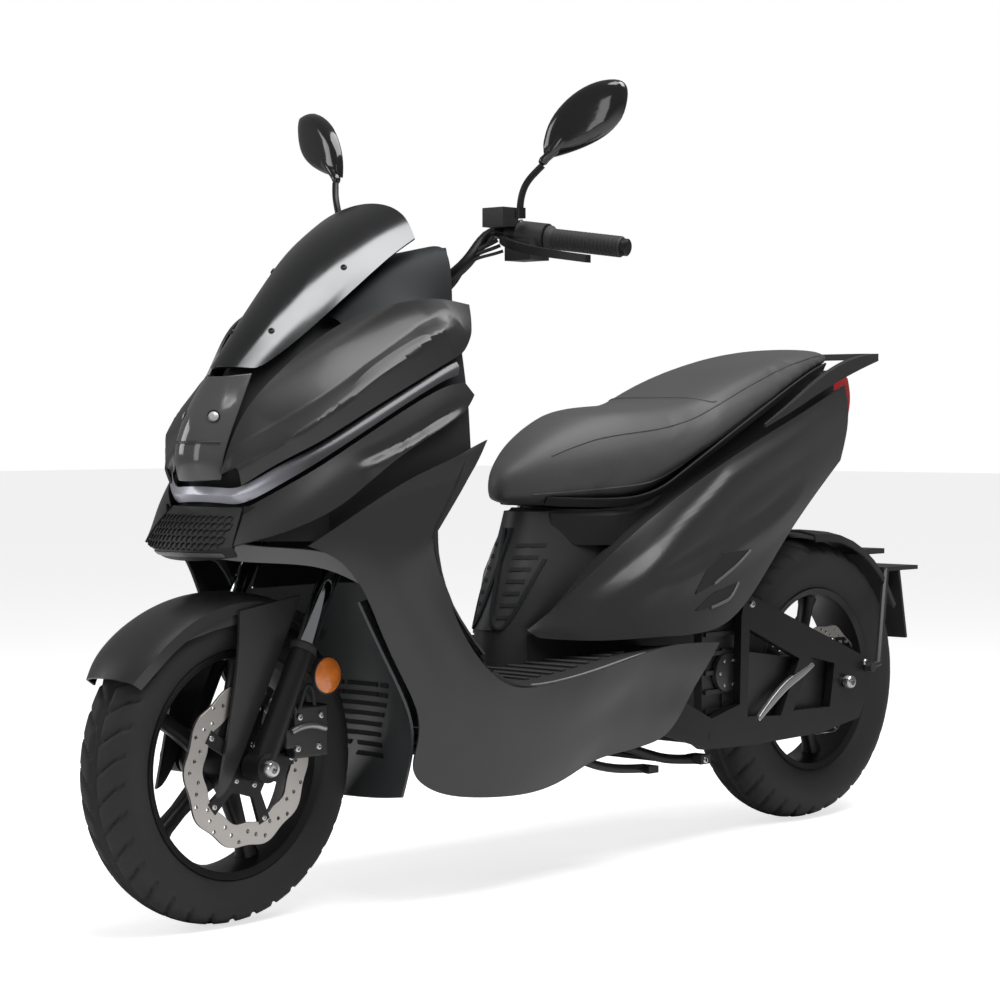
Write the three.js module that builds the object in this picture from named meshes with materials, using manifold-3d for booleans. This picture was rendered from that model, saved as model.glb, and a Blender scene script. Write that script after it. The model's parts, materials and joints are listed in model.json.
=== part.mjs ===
// A step-through scooter: stepped seat, tall smoked screen, layered front fairing, 13-inch wheels.
// Millimetres, +Z up, the front faces -Y and +X is the rider's left.
// Everything is drawn about the ground point midway between the axles, then moved so that the
// origin is the ground point under the middle of the whole machine.
import * as THREE from "three";
import { mergeVertices } from "three/addons/utils/BufferGeometryUtils.js";
import Module from "manifold-3d";

const wasm = await Module();
wasm.setup();

// ---------------------------------------------------------------- driving dimensions
const WHEELBASE = 1446;
const FRONT_TYRE_R = 240;
const REAR_TYRE_R = 264;
const FRONT_TYRE_HALF_W = 54;
const REAR_TYRE_HALF_W = 62;
const RIM_R = 165;
const RAKE = THREE.MathUtils.degToRad(27);
const FORK_OFFSET = 39;
const FORK_HALF_SPACING = 92;
const STANCHION_R = 16;
const FORK_LEG_R = 19;
const FORK_LEG_TOP = 172; // along the steering axis
const PANEL = 4;
const SWING_PIVOT = [300, 200];
const MIRROR_TOE_IN = THREE.MathUtils.degToRad(15);
const PLATE_HALF_W = 60;
const PLATE_TOP = [988, 459];
const PLATE_FOOT = [1014, 326];
const SPOKE_PHASE = THREE.MathUtils.degToRad(3);
const TAIL_END_Y = 1050;

const FRONT_AXLE_Y = -WHEELBASE / 2;
const REAR_AXLE_Y = WHEELBASE / 2;
const STEER_Y = FRONT_AXLE_Y + FORK_OFFSET;

// ---------------------------------------------------------------- materials
const paint = new THREE.MeshStandardMaterial({ color: 0x3a3a3d, roughness: 0.42, metalness: 0.35 });
const darkPlastic = new THREE.MeshStandardMaterial({ color: 0x1b1b1d, roughness: 0.65 });
const glossBlack = new THREE.MeshStandardMaterial({ color: 0x0c0c0e, roughness: 0.1 });
const smoked = new THREE.MeshStandardMaterial({ color: 0x2a2b2e, roughness: 0.05 });
const clearLens = new THREE.MeshStandardMaterial({ color: 0x9a9ca0, roughness: 0.08 });
const redLens = new THREE.MeshStandardMaterial({ color: 0x9c1016, roughness: 0.15 });
const silver = new THREE.MeshStandardMaterial({ color: 0x9b9ba0, roughness: 0.3, metalness: 0.6 });
const chrome = new THREE.MeshStandardMaterial({ color: 0xc4c8d0, roughness: 0.1, metalness: 1 });
const steel = new THREE.MeshStandardMaterial({ color: 0xa9a59d, roughness: 0.3, metalness: 1 });
const blackMetal = new THREE.MeshStandardMaterial({ color: 0x161617, roughness: 0.4, metalness: 0.7 });
const castAlloy = new THREE.MeshStandardMaterial({ color: 0x2b2b2e, roughness: 0.5, metalness: 0.8 });
const rubber = new THREE.MeshStandardMaterial({ color: 0x151515, roughness: 0.9 });
const vinyl = new THREE.MeshStandardMaterial({ color: 0x2c2c2e, roughness: 0.75 });

// ---------------------------------------------------------------- solid tools
// One closed skin: shared corners merged, no zero-area faces, faces pointing out.
function clean(geometry) {
  const bare = geometry.clone();
  for (const name of Object.keys(bare.attributes)) {
    if (name !== "position") bare.deleteAttribute(name);
  }
  const merged = mergeVertices(bare, 1e-3);
  const index = merged.index.array;
  const kept = [];
  for (let i = 0; i < index.length; i += 3) {
    const [a, b, c] = [index[i], index[i + 1], index[i + 2]];
    if (a !== b && b !== c && c !== a) kept.push(a, b, c);
  }
  if (volume(merged.attributes.position, kept) < 0) kept.reverse();
  merged.setIndex(kept);
  return merged;
}

function volume(position, index) {
  const [a, b, c] = [new THREE.Vector3(), new THREE.Vector3(), new THREE.Vector3()];
  let sum = 0;
  for (let i = 0; i < index.length; i += 3) {
    a.fromBufferAttribute(position, index[i]);
    b.fromBufferAttribute(position, index[i + 1]);
    c.fromBufferAttribute(position, index[i + 2]);
    sum += a.dot(b.cross(c));
  }
  return sum / 6;
}

function toManifold(geometry) {
  const skin = clean(geometry);
  return new wasm.Manifold(new wasm.Mesh({
    numProp: 3,
    vertProperties: Float32Array.from(skin.attributes.position.array),
    triVerts: Uint32Array.from(skin.index.array),
  }));
}

function fromManifold(manifold) {
  const mesh = manifold.getMesh();
  const geometry = new THREE.BufferGeometry();
  geometry.setAttribute("position", new THREE.BufferAttribute(mesh.vertProperties, 3));
  geometry.setIndex(Array.from(mesh.triVerts));
  return geometry;
}

const join = (...parts) => fromManifold(parts.map(toManifold).reduce((a, b) => a.add(b)));
const cut = (body, ...tools) =>
  fromManifold(tools.map(toManifold).reduce((a, b) => a.subtract(b), toManifold(body)));

function moved(geometry, x, y, z, rx = 0, ry = 0, rz = 0) {
  const turn = new THREE.Quaternion().setFromEuler(new THREE.Euler(rx, ry, rz));
  const matrix = new THREE.Matrix4().compose(new THREE.Vector3(x, y, z), turn, new THREE.Vector3(1, 1, 1));
  return geometry.clone().applyMatrix4(matrix);
}

const mirrorPoint = ([x, y, z]) => [-x, y, z];
const mirrored = (geometry) => clean(geometry.clone().applyMatrix4(new THREE.Matrix4().makeScale(-1, 1, 1)));

// ---------------------------------------------------------------- shape tools
const box = (w, d, h, x, y, z) => new THREE.BoxGeometry(w, d, h).translate(x, y, z);

// A round bar from one point to another.
function rod(from, to, radius, sides = 12, endRadius = radius) {
  const a = new THREE.Vector3(...from);
  const b = new THREE.Vector3(...to);
  const along = b.clone().sub(a);
  const bar = new THREE.CylinderGeometry(endRadius, radius, along.length(), sides);
  const turn = new THREE.Quaternion().setFromUnitVectors(new THREE.Vector3(0, 1, 0), along.normalize());
  return bar.applyQuaternion(turn).translate(...a.add(b).multiplyScalar(0.5).toArray());
}

// A round bar bent through a line of points.
function bentBar(points, radius, steps, sides = 8) {
  const path = new THREE.CatmullRomCurve3(points.map((p) => new THREE.Vector3(...p)));
  const corners = Array.from({ length: sides }, (_, i) => {
    const angle = (2 * Math.PI * i) / sides;
    return new THREE.Vector2(radius * Math.cos(angle), radius * Math.sin(angle));
  });
  const options = { steps, extrudePath: path, bevelEnabled: false };
  return new THREE.ExtrudeGeometry(new THREE.Shape(corners), options);
}

// A turned piece whose axis is X: the profile is a closed line of [radius, x].
function turnedOnX(profile, sides) {
  const points = profile.map(([r, x]) => new THREE.Vector2(r, x));
  points.push(points[0].clone());
  return clean(new THREE.LatheGeometry(points, sides).rotateZ(-Math.PI / 2));
}

// A flat plate cut to an outline of [y, z] points, standing across X.
function sidePlate(outline, x, thickness, holes = []) {
  const shape = new THREE.Shape(outline.map(([y, z]) => new THREE.Vector2(y, z)));
  for (const hole of holes) shape.holes.push(new THREE.Path(hole.map(([y, z]) => new THREE.Vector2(y, z))));
  const plate = new THREE.ExtrudeGeometry(shape, { depth: thickness, bevelEnabled: false });
  const axes = new THREE.Matrix4().set(0, 0, 1, x - thickness / 2, 1, 0, 0, 0, 0, 1, 0, 0, 0, 0, 0, 1);
  return plate.applyMatrix4(axes);
}

// A moulded panel: feature lines run along it, and the skin is given a thickness towards inside.
function panel(lines, inside, along, thickness = PANEL) {
  const curves = lines.map((line) => new THREE.CatmullRomCurve3(line.map((p) => new THREE.Vector3(...p))));
  const outer = curves.map((curve) => Array.from({ length: along + 1 }, (_, i) => curve.getPoint(i / along)));
  const last = lines.length - 1;
  const target = new THREE.Vector3(...inside);
  let facing = 0;
  const normals = outer.map((row, r) => row.map((point, i) => {
    const acrossWay = outer[Math.min(r + 1, last)][i].clone().sub(outer[Math.max(r - 1, 0)][i]);
    const alongWay = row[Math.min(i + 1, along)].clone().sub(row[Math.max(i - 1, 0)]);
    const normal = acrossWay.cross(alongWay).normalize();
    facing += Math.sign(target.clone().sub(point).dot(normal));
    return normal;
  }));
  const depth = thickness * Math.sign(facing);
  const inner = outer.map((row, r) => row.map((p, i) => p.clone().addScaledVector(normals[r][i], depth)));
  const corners = [...outer.flat(), ...inner.flat()];
  const at = (side, r, i) => side * (last + 1) * (along + 1) + r * (along + 1) + i;
  const index = [];
  const quad = (a, b, c, d) => index.push(a, b, c, a, c, d);
  for (let r = 0; r < last; r += 1) {
    for (let i = 0; i < along; i += 1) {
      quad(at(0, r, i), at(0, r, i + 1), at(0, r + 1, i + 1), at(0, r + 1, i));
      quad(at(1, r, i), at(1, r + 1, i), at(1, r + 1, i + 1), at(1, r, i + 1));
    }
    quad(at(0, r, 0), at(0, r + 1, 0), at(1, r + 1, 0), at(1, r, 0));
    quad(at(0, r, along), at(1, r, along), at(1, r + 1, along), at(0, r + 1, along));
  }
  for (let i = 0; i < along; i += 1) {
    quad(at(0, 0, i), at(1, 0, i), at(1, 0, i + 1), at(0, 0, i + 1));
    quad(at(0, last, i), at(0, last, i + 1), at(1, last, i + 1), at(1, last, i));
  }
  const geometry = new THREE.BufferGeometry();
  geometry.setAttribute("position", new THREE.Float32BufferAttribute(corners.flatMap((p) => p.toArray()), 3));
  geometry.setIndex(index);
  return clean(geometry);
}

// A closed body through a row of closed loops with the same number of corners.
function loft(loops) {
  const count = loops[0].length;
  const corners = loops.flat();
  const index = [];
  for (let s = 0; s + 1 < loops.length; s += 1) {
    for (let i = 0; i < count; i += 1) {
      const next = (i + 1) % count;
      const [a, b, c, d] = [s * count + i, s * count + next, (s + 1) * count + next, (s + 1) * count + i];
      index.push(a, b, c, a, c, d);
    }
  }
  const capEnd = (start, flip) => {
    const middle = new THREE.Vector3();
    for (let i = 0; i < count; i += 1) middle.add(new THREE.Vector3(...corners[start + i]));
    corners.push(middle.divideScalar(count).toArray());
    const centre = corners.length - 1;
    for (let i = 0; i < count; i += 1) {
      const [a, b] = [start + i, start + ((i + 1) % count)];
      index.push(...(flip ? [centre, b, a] : [centre, a, b]));
    }
  };
  capEnd(0, true);
  capEnd((loops.length - 1) * count, false);
  const geometry = new THREE.BufferGeometry();
  geometry.setAttribute("position", new THREE.Float32BufferAttribute(corners.flat(), 3));
  geometry.setIndex(index);
  return clean(geometry);
}

// A line of points across the machine, from right to left, given its left half from the edge inwards.
function acrossLine(leftHalf) {
  const centre = leftHalf[leftHalf.length - 1];
  const left = leftHalf.slice(0, -1);
  return [...left.map(mirrorPoint), centre, ...left.slice().reverse()];
}

// ---------------------------------------------------------------- scene groups
const scooter = new THREE.Group();
const steering = new THREE.Group();
steering.position.set(0, STEER_Y, FRONT_TYRE_R);
steering.rotation.x = -RAKE;
scooter.add(steering);

function add(name, geometry, material, parent = scooter) {
  const mesh = new THREE.Mesh(clean(geometry), material);
  mesh.name = name;
  parent.add(mesh);
}

function addPair(name, leftGeometry, material, parent = scooter) {
  add(`${name}_left`, leftGeometry, material, parent);
  add(`${name}_right`, mirrored(clean(leftGeometry)), material, parent);
}

// ---------------------------------------------------------------- wheels
const TYRE_SIDES = 28;
const AXLE_R = 10;

function tyre(radius, halfWidth, beadX) {
  const bead = RIM_R + 2;
  const height = radius - bead;
  const half = [
    [bead, beadX],
    [bead + 0.29 * height, beadX + 0.78 * (halfWidth - beadX)],
    [bead + 0.56 * height, halfWidth],
    [bead + 0.8 * height, 0.85 * halfWidth],
    [bead + 0.945 * height, 0.5 * halfWidth],
  ];
  const flip = ([r, x]) => [r, -x];
  const cavity = [[bead, beadX - 9], [bead + 0.52 * height, halfWidth - 10], [radius - 12, 0]];
  const inside = [cavity[2], flip(cavity[1]), flip(cavity[0])];
  return turnedOnX([...half.map(flip), [radius, 0], ...half.slice().reverse(), ...cavity.slice(0, 2),
    ...inside],
    TYRE_SIDES);
}

function rim(beadX, hubInner, hubOuter, spokes) {
  const flange = beadX + 3.5;
  const seat = RIM_R + 1.3;
  const half = [[seat + 5, flange + 3.5], [seat + 5, flange], [seat, flange - 0.2]];
  const flip = ([r, x]) => [r, -x];
  const well = [[160, flange + 3.5], [154, 14], [154, -14], [160, -flange - 3.5]];
  const barrel = turnedOnX([...half.map(flip), ...half.slice().reverse(), ...well], TYRE_SIDES);
  const hub = turnedOnX([[34, -hubInner], [34, hubOuter], [AXLE_R + 2, hubOuter],
    [AXLE_R + 2, -hubInner]], 20);
  const spokeBars = Array.from({ length: spokes }, (_, i) => {
    const bar = new THREE.CylinderGeometry(15, 21, 132, 6).scale(1, 1, 0.8).translate(0, 91, 0);
    return bar.rotateX(SPOKE_PHASE + (2 * Math.PI * i) / spokes);
  });
  return join(barrel, hub, ...spokeBars);
}

function brakeDisc(thickness) {
  const ring = (radius, count, wave = 0, from = 0, to = 2 * Math.PI) =>
    Array.from({ length: count }, (_, i) => {
    const angle = from + ((to - from) * i) / (wave || to - from > 6 ? count : count - 1);
    const r = radius + wave * Math.cos(10 * angle);
    return [r * Math.cos(angle), r * Math.sin(angle)];
  });
  const windows = Array.from({ length: 5 }, (_, i) => {
    const start = (2 * Math.PI * i) / 5 + 0.18;
    const end = (2 * Math.PI * (i + 1)) / 5 - 0.18;
    return [...ring(90, 7, 0, start, end), ...ring(50, 5, 0, start + 0.1, end - 0.1).reverse()];
  });
  return sidePlate(ring(124, 40, 3), 0, thickness, [ring(AXLE_R + 4, 16), ...windows]);
}

function frontWheel() {
  const place = (geometry) => moved(geometry, 0, FRONT_AXLE_Y, FRONT_TYRE_R);
  add("front_tyre", place(tyre(FRONT_TYRE_R, FRONT_TYRE_HALF_W, 36)), rubber);
  add("front_rim", place(rim(36, 59, 59, 5)), blackMetal);
  add("front_brake_disc", moved(brakeDisc(4.5), 62, FRONT_AXLE_Y, FRONT_TYRE_R), steel);
  add("front_axle", place(rod([-116, 0, 0], [116, 0, 0], AXLE_R, 12)), steel);
}

function rearWheel() {
  const place = (geometry) => moved(geometry, 0, REAR_AXLE_Y, REAR_TYRE_R);
  add("rear_tyre", place(tyre(REAR_TYRE_R, REAR_TYRE_HALF_W, 42)), rubber);
  add("rear_rim", place(rim(42, 66, 66, 5)), blackMetal);
  add("rear_axle", place(rod([-128, 0, 0], [128, 0, 0], AXLE_R, 12)), steel);
}

// ---------------------------------------------------------------- fork (drawn along the steering axis)
const AXLE_ALONG = -FORK_OFFSET * Math.sin(RAKE);
const FORK_Y = -FORK_OFFSET * Math.cos(RAKE);
const YOKE_ALONG = 404;
const STEM_TOP = 792;

function forkLegs() {
  const onLeg = (along) => [FORK_HALF_SPACING, FORK_Y, along];
  const leg = join(
    rod(onLeg(AXLE_ALONG + 4), onLeg(FORK_LEG_TOP), FORK_LEG_R, 16),
    rod([FORK_HALF_SPACING - 18, FORK_Y, AXLE_ALONG], [FORK_HALF_SPACING + 18, FORK_Y, AXLE_ALONG], 22, 20),
  );
  const bore = rod(onLeg(25), onLeg(FORK_LEG_TOP + 10), STANCHION_R + 1, 16);
  const axleHole = rod([60, FORK_Y, AXLE_ALONG], [130, FORK_Y, AXLE_ALONG], AXLE_R + 1, 16);
  addPair("fork_leg", cut(leg, bore, axleHole), blackMetal, steering);
  addPair("fork_tube", rod(onLeg(98), onLeg(436), STANCHION_R, 16), chrome, steering);
}

function steeringStem() {
  const yoke = box(2 * FORK_HALF_SPACING + 52, 74, 34, 0, -14, YOKE_ALONG);
  const clampHole = (side) => rod([side * FORK_HALF_SPACING, FORK_Y, 370],
    [side * FORK_HALF_SPACING, FORK_Y, 440],
    STANCHION_R + 1, 16);
  const stem = rod([0, 0, YOKE_ALONG], [0, 0, STEM_TOP], 13, 16);
  const barClamp = box(64, 46, 40, 0, -5, STEM_TOP + 10);
  const barHole = rod([-60, -5, STEM_TOP + 19], [60, -5, STEM_TOP + 19], 12.2, 16);
  add("steering_stem", cut(join(yoke, stem, barClamp), clampHole(1), clampHole(-1), barHole), blackMetal,
    steering);
}

// Front caliper: it straddles the brake disc behind the left leg.
function frontCaliper() {
  const body = join(
    box(42, 70, 78, 67, FRONT_AXLE_Y + 108, FRONT_TYRE_R + 44),
    box(10, 42, 30, 83, FRONT_AXLE_Y + 77, FRONT_TYRE_R + 36),
  );
  const slot = box(10, 70, 100, 62, FRONT_AXLE_Y + 95, FRONT_TYRE_R + 44);
  add("front_caliper", cut(body, slot), castAlloy);
}

// Front mudguard: a hood over the tyre from the tip to behind the legs, with a blade down each leg.
function frontFender() {
  const sections = [[33, 261, 0.8], [41, 260, 0.95], [52, 258, 1], [66, 257, 1], [82, 257, 1], [98, 258, 1],
    [114, 260, 1], [130, 262, 1]];
  const hood = (offset, x) => sections.map(([degrees, radius, width]) => {
    const angle = THREE.MathUtils.degToRad(degrees);
    const r = radius + offset;
    return [x * width, FRONT_AXLE_Y - r * Math.cos(angle), FRONT_TYRE_R + r * Math.sin(angle)];
  });
  const lines = [hood(-31, -67), hood(-14, -66), hood(-4, -45), hood(0, 0), hood(-4, 45), hood(-14, 66),
    hood(-31, 67)];
  const shell = panel(lines, [0, FRONT_AXLE_Y, FRONT_TYRE_R], 12, 3.5);
  const legY = (z) => FRONT_AXLE_Y + (z - FRONT_TYRE_R) * Math.tan(RAKE);
  const ahead = (z, distance) => [legY(z) - distance, z];
  const bladeOutline = [ahead(488, 24), ahead(330, 24), ahead(205, 26), ahead(200, 44), ahead(300, 72),
    ahead(400, 104), ahead(470, 138)];
  const blade = (side) => sidePlate(bladeOutline, side * 68.8, 5);
  add("front_fender", join(shell, blade(1), blade(-1)), paint);
}

// ---------------------------------------------------------------- bodywork (left drawn, right mirrored)
const MID = [0, -450, 600];

function upperFairings() {
  const lines = [
    [[52, -764, 672], [61, -733, 753], [80, -672, 822], [128, -580, 900], [176, -452, 935], [200, -390, 926]],
    [[66, -764, 678], [78, -722, 750], [100, -657, 812], [142, -563, 880], [186, -448, 918],
     [206, -392, 908]],
    [[78, -758, 682], [104, -714, 730], [138, -659, 782], [168, -577, 836], [199, -452, 898],
     [213, -398, 886]],
    [[84, -756, 676], [112, -716, 712], [152, -657, 764], [184, -560, 842], [205, -449, 890],
     [215, -402, 876]],
    [[80, -748, 654], [115, -712, 684], [147, -662, 713], [178, -580, 764], [208, -460, 830],
     [214, -415, 852]],
  ];
  addPair("upper_fairing", panel(lines, MID, 12), paint);
}

function midFairings() {
  const lines = [
    [[82, -744, 620], [124, -714, 648], [158, -664, 682], [188, -588, 732], [217, -462, 800],
     [225, -425, 806]],
    [[94, -765, 594], [148, -716, 622], [182, -650, 662], [206, -560, 716], [225, -470, 772],
     [231, -411, 788]],
    [[99, -781, 568], [152, -718, 590], [186, -646, 626], [207, -565, 688], [223, -490, 732],
     [230, -426, 764]],
  ];
  addPair("mid_fairing", panel(lines, MID, 12), paint);
}

// The large side panel: down from the lowest fin, round the foot corner and back along the floor.
function legShields() {
  const stations = [
    [[238, -390, 720], [212, -552, 658], [160, -690, 566]],
    [[236, -452, 632], [216, -560, 590], [180, -640, 544]],
    [[231, -502, 572], [216, -562, 534], [192, -600, 488]],
    [[225, -478, 520], [214, -525, 470], [196, -566, 416]],
    [[225, -444, 446], [216, -476, 402], [195, -520, 350]],
    [[227, -392, 380], [216, -424, 334], [190, -482, 284]],
    [[230, -320, 333], [214, -368, 270], [168, -486, 222]],
    [[230, -212, 338], [220, -300, 250], [172, -448, 182]],
    [[228, -118, 348], [220, -196, 250], [197, -320, 163]],
    [[222, -42, 359], [214, -100, 272], [200, -192, 167]],
    [[214, 36, 371], [208, -20, 296], [199, -100, 202]],
    [[205, 130, 376], [202, 70, 300], [198, 2, 208]],
    [[191, 246, 370], [194, 168, 296], [195, 96, 220]],
  ];
  const lines = [0, 1, 2].map((i) => stations.map((station) => station[i]));
  const middle = (a, b, out) => a.map((p, i) => p.map((v, k) => (v + b[i][k]) / 2 + (k === 0 ? out : 0)));
  const dense = [lines[0], middle(lines[0], lines[1], 3), lines[1], middle(lines[1], lines[2], 5), lines[2]];
  addPair("leg_shield", panel(dense, [0, -300, 420], 18), paint);
}

function lightBar() {
  const top = [[0, -757, 652], [40, -755, 651], [72, -744, 651], [114, -714, 680], [147, -664, 709],
    [178, -583, 759], [208, -464, 825], [213, -432, 838]].reverse();
  const middle = [[0, -763, 640], [40, -761, 640], [74, -748, 639], [120, -717, 668], [153, -667, 700],
    [184, -587, 750], [215, -464, 818], [219, -430, 830]].reverse();
  const bottom = [[0, -754, 629], [40, -752, 628], [73, -741, 627], [121, -714, 654], [155, -666, 688],
    [186, -590, 738], [215, -468, 807], [219, -434, 818]].reverse();
  add("light_bar", panel([top, middle, bottom].map(acrossLine), [0, -600, 640], 28), silver);
}

function nosePanel() {
  const lines = [
    [[77, -744, 622], [40, -753, 622], [0, -756, 622]],
    [[89, -767, 592], [46, -786, 590], [0, -790, 589]],
    [[94, -780, 566], [52, -801, 560], [0, -809, 557]],
    [[88, -764, 550], [46, -784, 545], [0, -790, 543]],
  ];
  add("nose_grille", panel(lines.map(acrossLine), [0, -600, 600], 8), darkPlastic);
}

function headlight() {
  const lines = [
    [[48, -697, 820], [26, -724, 816], [0, -734, 815]],
    [[54, -733, 755], [30, -770, 752], [0, -781, 751]],
    [[50, -756, 700], [28, -789, 696], [0, -798, 695]],
    [[46, -756, 662], [26, -778, 660], [0, -784, 659]],
  ];
  add("headlight", panel(lines.map(acrossLine), [0, -500, 700], 8, 26), clearLens);
}

function windscreen() {
  const lines = [
    [[130, -437, 1028], [98, -424, 1062], [52, -414, 1083], [0, -411, 1090]],
    [[122, -467, 1008], [90, -470, 1036], [47, -472, 1052], [0, -473, 1056]],
    [[115, -497, 985], [82, -520, 1002], [42, -532, 1010], [0, -536, 1012]],
    [[91, -558, 928], [66, -588, 940], [35, -602, 946], [0, -606, 948]],
    [[71, -622, 872], [52, -650, 880], [28, -664, 884], [0, -668, 885]],
    [[52, -685, 826], [36, -706, 828], [19, -716, 829], [0, -719, 829]],
  ];
  add("windscreen", panel(lines.map(acrossLine), [0, -400, 800], 12, 3.5), smoked);
}

function dashboard() {
  const hood = [
    [[118, -572, 884], [88, -562, 902], [46, -566, 910], [0, -570, 913]],
    [[146, -515, 918], [110, -500, 966], [56, -506, 976], [0, -508, 978]],
    [[164, -455, 932], [128, -442, 1002], [64, -448, 1004], [0, -450, 1004]],
    [[174, -400, 930], [150, -388, 1018], [78, -392, 1012], [0, -394, 1008]],
  ];
  add("dash_hood", panel(hood.map(acrossLine), [0, -430, 850], 12), darkPlastic);
  add("display", box(150, 16, 74, 0, -394, 960), glossBlack);
}

function innerLegShield() {
  const lines = [
    [[186, -396, 912], [120, -344, 912], [60, -300, 908], [0, -290, 906]],
    [[198, -414, 810], [125, -362, 805], [62, -320, 800], [0, -310, 798]],
    [[220, -404, 706], [140, -374, 702], [66, -338, 700], [0, -328, 700]],
    [[217, -500, 574], [150, -415, 571], [75, -362, 571], [0, -350, 571]],
    [[211, -440, 464], [150, -398, 460], [75, -374, 460], [0, -368, 460]],
    [[211, -366, 392], [140, -356, 388], [70, -356, 388], [0, -356, 388]],
  ];
  add("inner_leg_shield", panel(lines.map(acrossLine), [0, -600, 600], 12), darkPlastic);
}

// The vented cowl behind the front wheel, with the trim that edges the wheel arch.
function lowerCowl() {
  const lines = [
    [[172, -602, 480], [120, -500, 486], [60, -434, 492], [0, -418, 494]],
    [[186, -566, 400], [120, -470, 404], [60, -424, 408], [0, -412, 410]],
    [[180, -506, 320], [116, -452, 322], [60, -426, 324], [0, -418, 325]],
    [[166, -474, 262], [112, -452, 254], [58, -440, 248], [0, -436, 246]],
    [[154, -492, 178], [104, -484, 172], [54, -476, 168], [0, -472, 166]],
  ];
  add("lower_cowl", panel(lines.map(acrossLine), [0, -300, 320], 12), darkPlastic);
}

function floorboard() {
  const lines = [
    [[216, -352, 366], [120, -344, 362], [0, -342, 362]],
    [[222, -300, 332], [120, -300, 336], [0, -300, 336]],
    [[222, -212, 334], [120, -212, 336], [0, -212, 336]],
    [[220, -118, 344], [120, -118, 345], [0, -118, 345]],
    [[214, -42, 357], [120, -42, 355], [0, -42, 355]],
    [[206, 36, 368], [120, 36, 364], [0, 36, 364]],
    [[195, 118, 374], [120, 118, 368], [0, 118, 368]],
  ];
  add("floorboard", panel(lines.map(acrossLine), [0, -120, 0], 8, 6), darkPlastic);
}

function underSeatPanel() {
  const half = (z, front, width) => [[width + 50, 150, z], [width + 34, 70, z], [width + 14, front + 84, z],
    [width, front + 42, z], [width * 0.6, front + 10, z], [0, front, z]];
  const lines = [half(598, -75, 46), half(540, -92, 50), half(480, -118, 58), half(430, -138, 51),
    half(404, -150, 45)];
  add("under_seat_panel", panel(lines.map(acrossLine), [0, 60, 500], 16), darkPlastic);
}

function tailFairings() {
  const lines = [
    [[59, -101, 404], [78, -72, 430], [105, -36, 468], [132, 18, 521], [157, 86, 578], [174, 213, 648],
      [168, 389, 716], [154, 527, 760], [124, 707, 816]],
    [[64, -100, 400], [85, -69, 421], [117, -24, 454], [149, 37, 507], [179, 101, 556], [190, 222, 614],
      [179, 391, 682], [160, 534, 730], [129, 712, 788]],
    [[69, -93, 396], [97, -63, 402], [128, -24, 416], [159, 19, 442], [189, 56, 470], [195, 187, 511],
      [184, 318, 547], [151, 533, 609], [114, 736, 738]],
    [[72, -90, 391], [100, -60, 388], [140, -20, 386], [176, 30, 388], [199, 95, 390], [196, 200, 390],
      [176, 322, 414], [144, 510, 552], [104, 724, 676]],
  ];
  addPair("tail_fairing", panel(lines, [0, 250, 560], 14), paint);
}

function tailLight() {
  const ring = (y, w, low, high) => [[-w, y, low], [w, y, low], [w + 8, y, (low + high) / 2],
    [w, y, high], [-w, y, high],
    [-w - 8, y, (low + high) / 2]];
  add("tail_light", loft([ring(722, 80, 756, 812), ring(752, 84, 748, 836), ring(778, 82, 752, 832),
    ring(789, 74, 764, 818)]), redLens);
}

// A bar of four-sided section through stations of [x, y, z, half width, half height].
function grabRail() {
  const left = [[168, 404, 741, 2, 3], [158, 500, 776, 4, 8], [144, 590, 812, 5, 13], [130, 690, 844, 6, 15],
    [114, 780, 862, 7, 11], [92, 850, 870, 8, 7], [50, 874, 872, 9, 6]];
  const right = left.slice().reverse().map(([x, ...rest]) => [-x, ...rest]);
  const stations = [...left, ...right];
  const loops = stations.map(([x, y, z, w, h], i) => {
    const before = stations[Math.max(i - 1, 0)];
    const after = stations[Math.min(i + 1, stations.length - 1)];
    const along = new THREE.Vector2(after[0] - before[0], after[1] - before[1]).normalize();
    const side = [along.y * w, -along.x * w];
    const corner = ([a, b]) => [x + a * side[0], y + a * side[1], z + b * h];
    return [[1, -1], [1, 1], [-1, 1], [-1, -1]].map(corner);
  });
  add("grab_rail", loft(loops), darkPlastic);
}

// ---------------------------------------------------------------- seat
function seat() {
  const stations = [
    [-122, 12, 620, 650, 6], [-106, 26, 618, 676, 14], [-84, 42, 616, 688, 24], [-56, 60, 614, 710, 34],
    [-16, 80, 611, 732, 46], [40, 102, 609, 752, 62], [100, 124, 609, 764, 82], [160, 140, 622, 767, 98],
    [225, 150, 660, 769, 106], [285, 154, 692, 778, 108], [345, 155, 722, 803, 104],
    [420, 152, 756, 828, 100],
    [510, 145, 796, 851, 94], [600, 132, 830, 868, 82], [680, 112, 848, 877, 66], [715, 98, 853, 872, 54],
  ];
  const loops = stations.map(([y, w, low, high, crown]) => {
    const rise = high - low;
    const half = [[0.95 * w, low], [w, low + 0.2 * rise], [0.98 * w, low + 0.6 * rise],
      [Math.min(crown + 12, 0.9 * w), high - 0.1 * rise], [crown * 0.6, high - 1]];
    const far = half.slice().reverse().map(([x, z]) => [-x, y, z]);
    return [...half.map(([x, z]) => [x, y, z]), [0, y, high], ...far];
  });
  add("seat", loft(loops), vinyl);
}

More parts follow.
